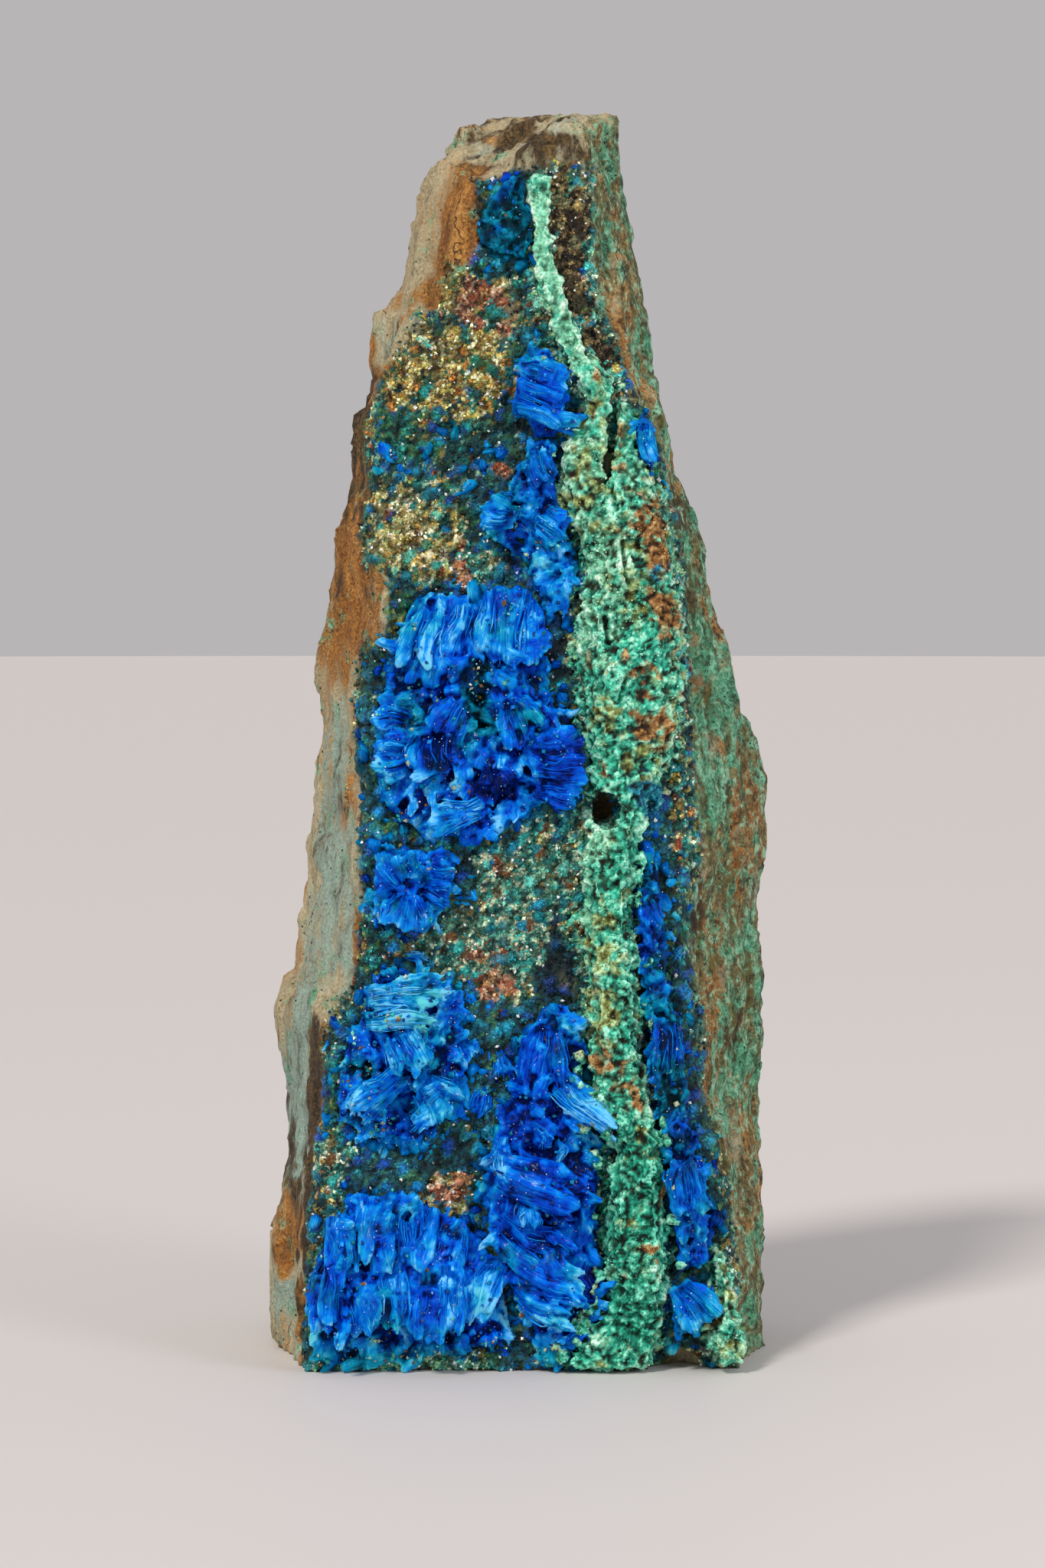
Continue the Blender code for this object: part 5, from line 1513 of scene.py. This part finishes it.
def make_blue_grains(look):
    """Small crystals on the masses with painted shade, white grains among them painted as glints, and pale
    green grains in drifts.
    """
    rng = np.random.default_rng(17)
    tree = surface_tree(*[bpy.data.objects[f"{node}_body"] for node in BLUE_NODES])
    places, normals = points_on(tree, BLUE_NODES, look.grain_spacing, rng)
    clump = noise_at(places, 1.6, 3, 31.0)
    rim = noise_at(places, 3.0, 3, 37.0) + rng.uniform(-0.15, 0.15, len(places))
    radii = CRYSTAL_RADIUS * rng.uniform(0.5, 1.5, len(places))
    middles = places + normals * (0.5 * MM * np.clip(clump, -0.5, 1) + radii * 0.2)[:, None]
    blues = picked(BLUE_GRAINS, rng.random(len(places)))
    rims = picked(RIM_GRAINS, rng.random(len(places)))
    rim += 0.35 * blue_shifts(places)[:, 1] + 0.9 * smooth_step(4 * MM, 1.5 * MM, places[:, 2])
    for node in BLUE_NODES:
        rim[under_sprays(places, SPRAYS[node])] -= 0.15
    colours = np.where((rim > 0.5)[:, None], rims, blues)
    # Some grains are small and white: painted glints.
    glints = rng.random(len(places)) < 0.16
    colours[glints] = linear("#DCF0FF")[:3]
    radii[glints] = GLINT_RADIUS
    kept = (rim > 0.5) | glints | (rng.random(len(places)) < 0.2)
    middles, radii, colours, clump = middles[kept], radii[kept], colours[kept], clump[kept]
    mesh, per_grain = grains_mesh("blue_grains", middles, radii, rng, 0.45)
    # Painted shade: grains that sit lower are darker, and those on top paler.
    shade = 0.5 + 0.6 * smooth_step(-0.5, 0.5, clump)
    add_attribute(mesh, "tint", np.repeat(colours * shade[:, None], per_grain, axis=0))
    material = grain_material("chalcanthite_grains", 0.2, 0.2)
    return finished("blue_grains", mesh, material, smooth=False)


# Stage

# The camera's place and aim, in millimetres from the foot of the vein's middle line.
CAMERA_PLACE = (0, -600, 98)
CAMERA_AIM = (0, 0, 66.5)
LENS = 116.84
SENSOR_HEIGHT = 36
# The lights' places and what they aim at, in millimetres.
KEY_PLACE = (-450, -750, 950)
FILL_PLACE = (550, -550, 350)
LIGHT_AIM = (0, 0, 70)
FILL_SIZE = 300


def aimed(name, data, place, target):
    """Puts a camera or a light in the scene, turned towards a place."""
    obj = linked(name, data)
    obj.location = place
    direction = target - obj.location
    obj.rotation_euler = direction.to_track_quat("-Z", "Y").to_euler()
    return obj


def make_floor(look):
    """A round floor of pale paper."""
    bm = bmesh.new()
    bmesh.ops.create_circle(bm, cap_ends=True, segments=64, radius=look.floor_radius)
    mesh = bpy.data.meshes.new("floor")
    bm.to_mesh(mesh)
    bm.free()
    material = new_material("pale_paper")
    shader = add_node(material, "BsdfPrincipled", {
        "Base Color": tuple(look.floor_colour) + (1,), "Roughness": 0.6})
    add_node(material, "OutputMaterial", None, {"Surface": shader})
    mesh.materials.append(material)
    linked("floor", mesh)


def make_light(look):
    """Soft light all round, a main light from the upper left and a weak one from the right."""
    world = bpy.data.worlds.new("soft_room")
    bpy.context.scene.world = world
    world.use_nodes = True
    background = world.node_tree.nodes["Background"]
    background.inputs["Color"].default_value = linear("#E4E0E2")
    background.inputs["Strength"].default_value = look.room_light
    key = bpy.data.lights.new("key", "SUN")
    key.energy = look.key_strength
    key.angle = math.radians(10)
    key.color = linear("#FFF8F0")[:3]
    aimed("key", key, Vector(KEY_PLACE) * MM, Vector(LIGHT_AIM) * MM)
    fill = bpy.data.lights.new("fill", "AREA")
    fill.shape = "DISK"
    fill.size = FILL_SIZE * MM
    fill.energy = look.fill_power
    fill.color = linear("#F6F8FF")[:3]
    aimed("fill", fill, Vector(FILL_PLACE) * MM, Vector(LIGHT_AIM) * MM)


def make_camera():
    """The camera that looks at the specimen's front."""
    camera = bpy.data.cameras.new("camera")
    camera.sensor_fit = "VERTICAL"
    camera.sensor_height = SENSOR_HEIGHT
    camera.lens = LENS
    place, target = (Vector(point) * MM + VEIN_SHIFT for point in (CAMERA_PLACE, CAMERA_AIM))
    bpy.context.scene.camera = aimed("camera", camera, place, target)


def make_stage(look):
    """What the specimen is shown on, in and from."""
    make_floor(look)
    make_light(look)
    make_camera()
    bpy.context.scene.view_settings.view_transform = "Standard"


# Settings

def length_setting(name, description, millimetres):
    """A length that the panel shows."""
    return bpy.props.FloatProperty(
        name=name, description=description, default=millimetres * MM, unit="LENGTH", precision=5)


class RockLook(bpy.types.PropertyGroup):
    """Sizes of the host rock's relief."""
    voxel: length_setting("Mesh size", "Edge length of the rock's mesh", 0.73)
    druse_height: length_setting("Druse height", "How far the druse's clumps stand out", 0.55)
    plate_step: length_setting("Plate step", "Height between neighbouring chipped plates", 0.9)
    parting_depth: length_setting("Parting depth", "Depth of the upright partings", 0.35)
    tooth_height: length_setting("Tooth", "Height of the fine roughness", 0.4)
    bump_height: length_setting("Bump", "Height of the shader's grain", 0.35)


class DruseLook(bpy.types.PropertyGroup):
    """Sizes of the drusy grains on the front of the rock."""
    spacing: length_setting("Spacing", "Distance between grains", 0.34)
    grain_radius: length_setting("Grain radius", "Usual radius of a grain", 0.19)


class GreenLook(bpy.types.PropertyGroup):
    """Sizes of the green crust."""
    voxel: length_setting("Mesh size", "Edge length of the crust's mesh", 0.23)
    lump_height: length_setting("Lump height", "How far lumps stand out", 0.6)
    rim_raggedness: length_setting("Rim raggedness", "How far the crust's rim wanders", 0.7)
    knob_reach: length_setting("Knob reach", "How far from the crust knobs grow", 1.8)
    knob_spacing: length_setting("Knob spacing", "Distance between knobs", 0.75)
    knob_radius: length_setting("Knob radius", "Usual radius of a knob", 0.5)
    grain_spacing: length_setting("Grain spacing", "Distance between grains", 0.34)
    grain_radius: length_setting("Grain radius", "Usual radius of a grain", 0.16)


class BlueLook(bpy.types.PropertyGroup):
    """Sizes of the blue crystals."""
    voxel: length_setting("Mesh size", "Edge length of the masses' mesh", 0.25)
    body_relief: length_setting("Relief", "How far the masses' folds stand out", 0.6)
    lock_width: length_setting("Lock width", "Width of one lock of fibres", 1.7)
    strand_radius: length_setting("Strand radius", "Usual radius of one strand", 0.09)
    strand_lift: length_setting("Strand lift", "How far a strand may stand off its lock", 0.45)
    strands_per_lock: bpy.props.IntProperty(
        name="Strands", description="Strands in one lock", default=12, min=1)
    blade_spacing: length_setting("Lobe spacing", "Distance between the small lobes", 1.1)
    blade_length: length_setting("Lobe length", "Usual length of a small lobe", 2.6)
    blade_width: length_setting("Lobe width", "Usual width of a small lobe", 1.3)
    body_sink: length_setting("Gap depth", "How far the gaps between lobes fall back", 0.9)
    grain_spacing: length_setting("Grain spacing", "Distance between small crystals", 0.62)


class StageLook(bpy.types.PropertyGroup):
    """The floor and the light."""
    floor_radius: bpy.props.FloatProperty(
        name="Floor radius", description="Radius of the round floor", default=3.0, unit="LENGTH")
    floor_colour: bpy.props.FloatVectorProperty(
        name="Floor colour", description="Colour of the floor", default=linear("#DAD6D4")[:3],
        subtype="COLOR", min=0, max=1)
    room_light: bpy.props.FloatProperty(
        name="Room light", description="Strength of the light all round", default=0.62)
    key_strength: bpy.props.FloatProperty(
        name="Key strength", description="Strength of the main light", default=2.0)
    fill_power: bpy.props.FloatProperty(
        name="Fill power", description="Power of the side light", default=2.0, unit="POWER")


SETTINGS = {
    "specimen_rock": RockLook, "specimen_druse": DruseLook, "specimen_green": GreenLook,
    "specimen_blue": BlueLook, "specimen_stage": StageLook,
}


# Operators

class SPECIMEN_OT_rock(bpy.types.Operator):
    """Makes the host rock from its solid"""
    bl_idname = "specimen.rock"
    bl_label = "Host rock"

    def execute(self, context):
        make_rock(context.scene.specimen_rock)
        return {"FINISHED"}


class SPECIMEN_OT_druse(bpy.types.Operator):
    """Grows rust, cream, teal and blue grains over the front of the rock"""
    bl_idname = "specimen.druse"
    bl_label = "Front druse"

    def execute(self, context):
        make_druse(context.scene.specimen_druse)
        return {"FINISHED"}


class SPECIMEN_OT_green(bpy.types.Operator):
    """Makes the green crusts from their solids and grows their grains"""
    bl_idname = "specimen.green"
    bl_label = "Green crust"

    def execute(self, context):
        look = context.scene.specimen_green
        crust_material()
        for node in GREEN_NODES:
            make_green_body(node, look)
        make_green_grains(look)
        return {"FINISHED"}


class SPECIMEN_OT_blue(bpy.types.Operator):
    """Makes the blue masses from their solids and grows their fibres and small crystals"""
    bl_idname = "specimen.blue"
    bl_label = "Chalcanthite"

    def execute(self, context):
        look = context.scene.specimen_blue
        fibre_material()
        for node in BLUE_NODES:
            make_blue_mass(node, look)
        make_scattered_lobes(look)
        make_blue_grains(look)
        return {"FINISHED"}


class SPECIMEN_OT_stage(bpy.types.Operator):
    """Makes the floor, the light and the camera"""
    bl_idname = "specimen.stage"
    bl_label = "Stage"

    def execute(self, context):
        make_stage(context.scene.specimen_stage)
        return {"FINISHED"}


OPERATORS = (SPECIMEN_OT_rock, SPECIMEN_OT_druse, SPECIMEN_OT_green, SPECIMEN_OT_blue, SPECIMEN_OT_stage)


class SPECIMEN_PT_panel(bpy.types.Panel):
    """Lists the specimen's settings and the operators that make it"""
    bl_label = "Chalcanthite specimen"
    bl_space_type = "VIEW_3D"
    bl_region_type = "UI"
    bl_category = "Specimen"

    def draw(self, context):
        for (name, look), operator in zip(SETTINGS.items(), OPERATORS):
            box = self.layout.box()
            for setting in look.__annotations__:
                box.prop(getattr(context.scene, name), setting)
            box.operator(operator.bl_idname)


def register():
    """Adds the settings, the operators and the panel to Blender."""
    for cls in (*SETTINGS.values(), *OPERATORS, SPECIMEN_PT_panel):
        bpy.utils.register_class(cls)
    for name, look in SETTINGS.items():
        setattr(bpy.types.Scene, name, bpy.props.PointerProperty(type=look))


def unregister():
    """Takes the settings, the operators and the panel out of Blender."""
    for name in SETTINGS:
        delattr(bpy.types.Scene, name)
    for cls in (SPECIMEN_PT_panel, *reversed(OPERATORS), *reversed(SETTINGS.values())):
        bpy.utils.unregister_class(cls)


def main():
    """Makes the whole specimen."""
    register()
    for step in ("stage", "rock", "druse", "green", "blue"):
        getattr(bpy.ops.specimen, step)()


if __name__ == "__main__":
    main()
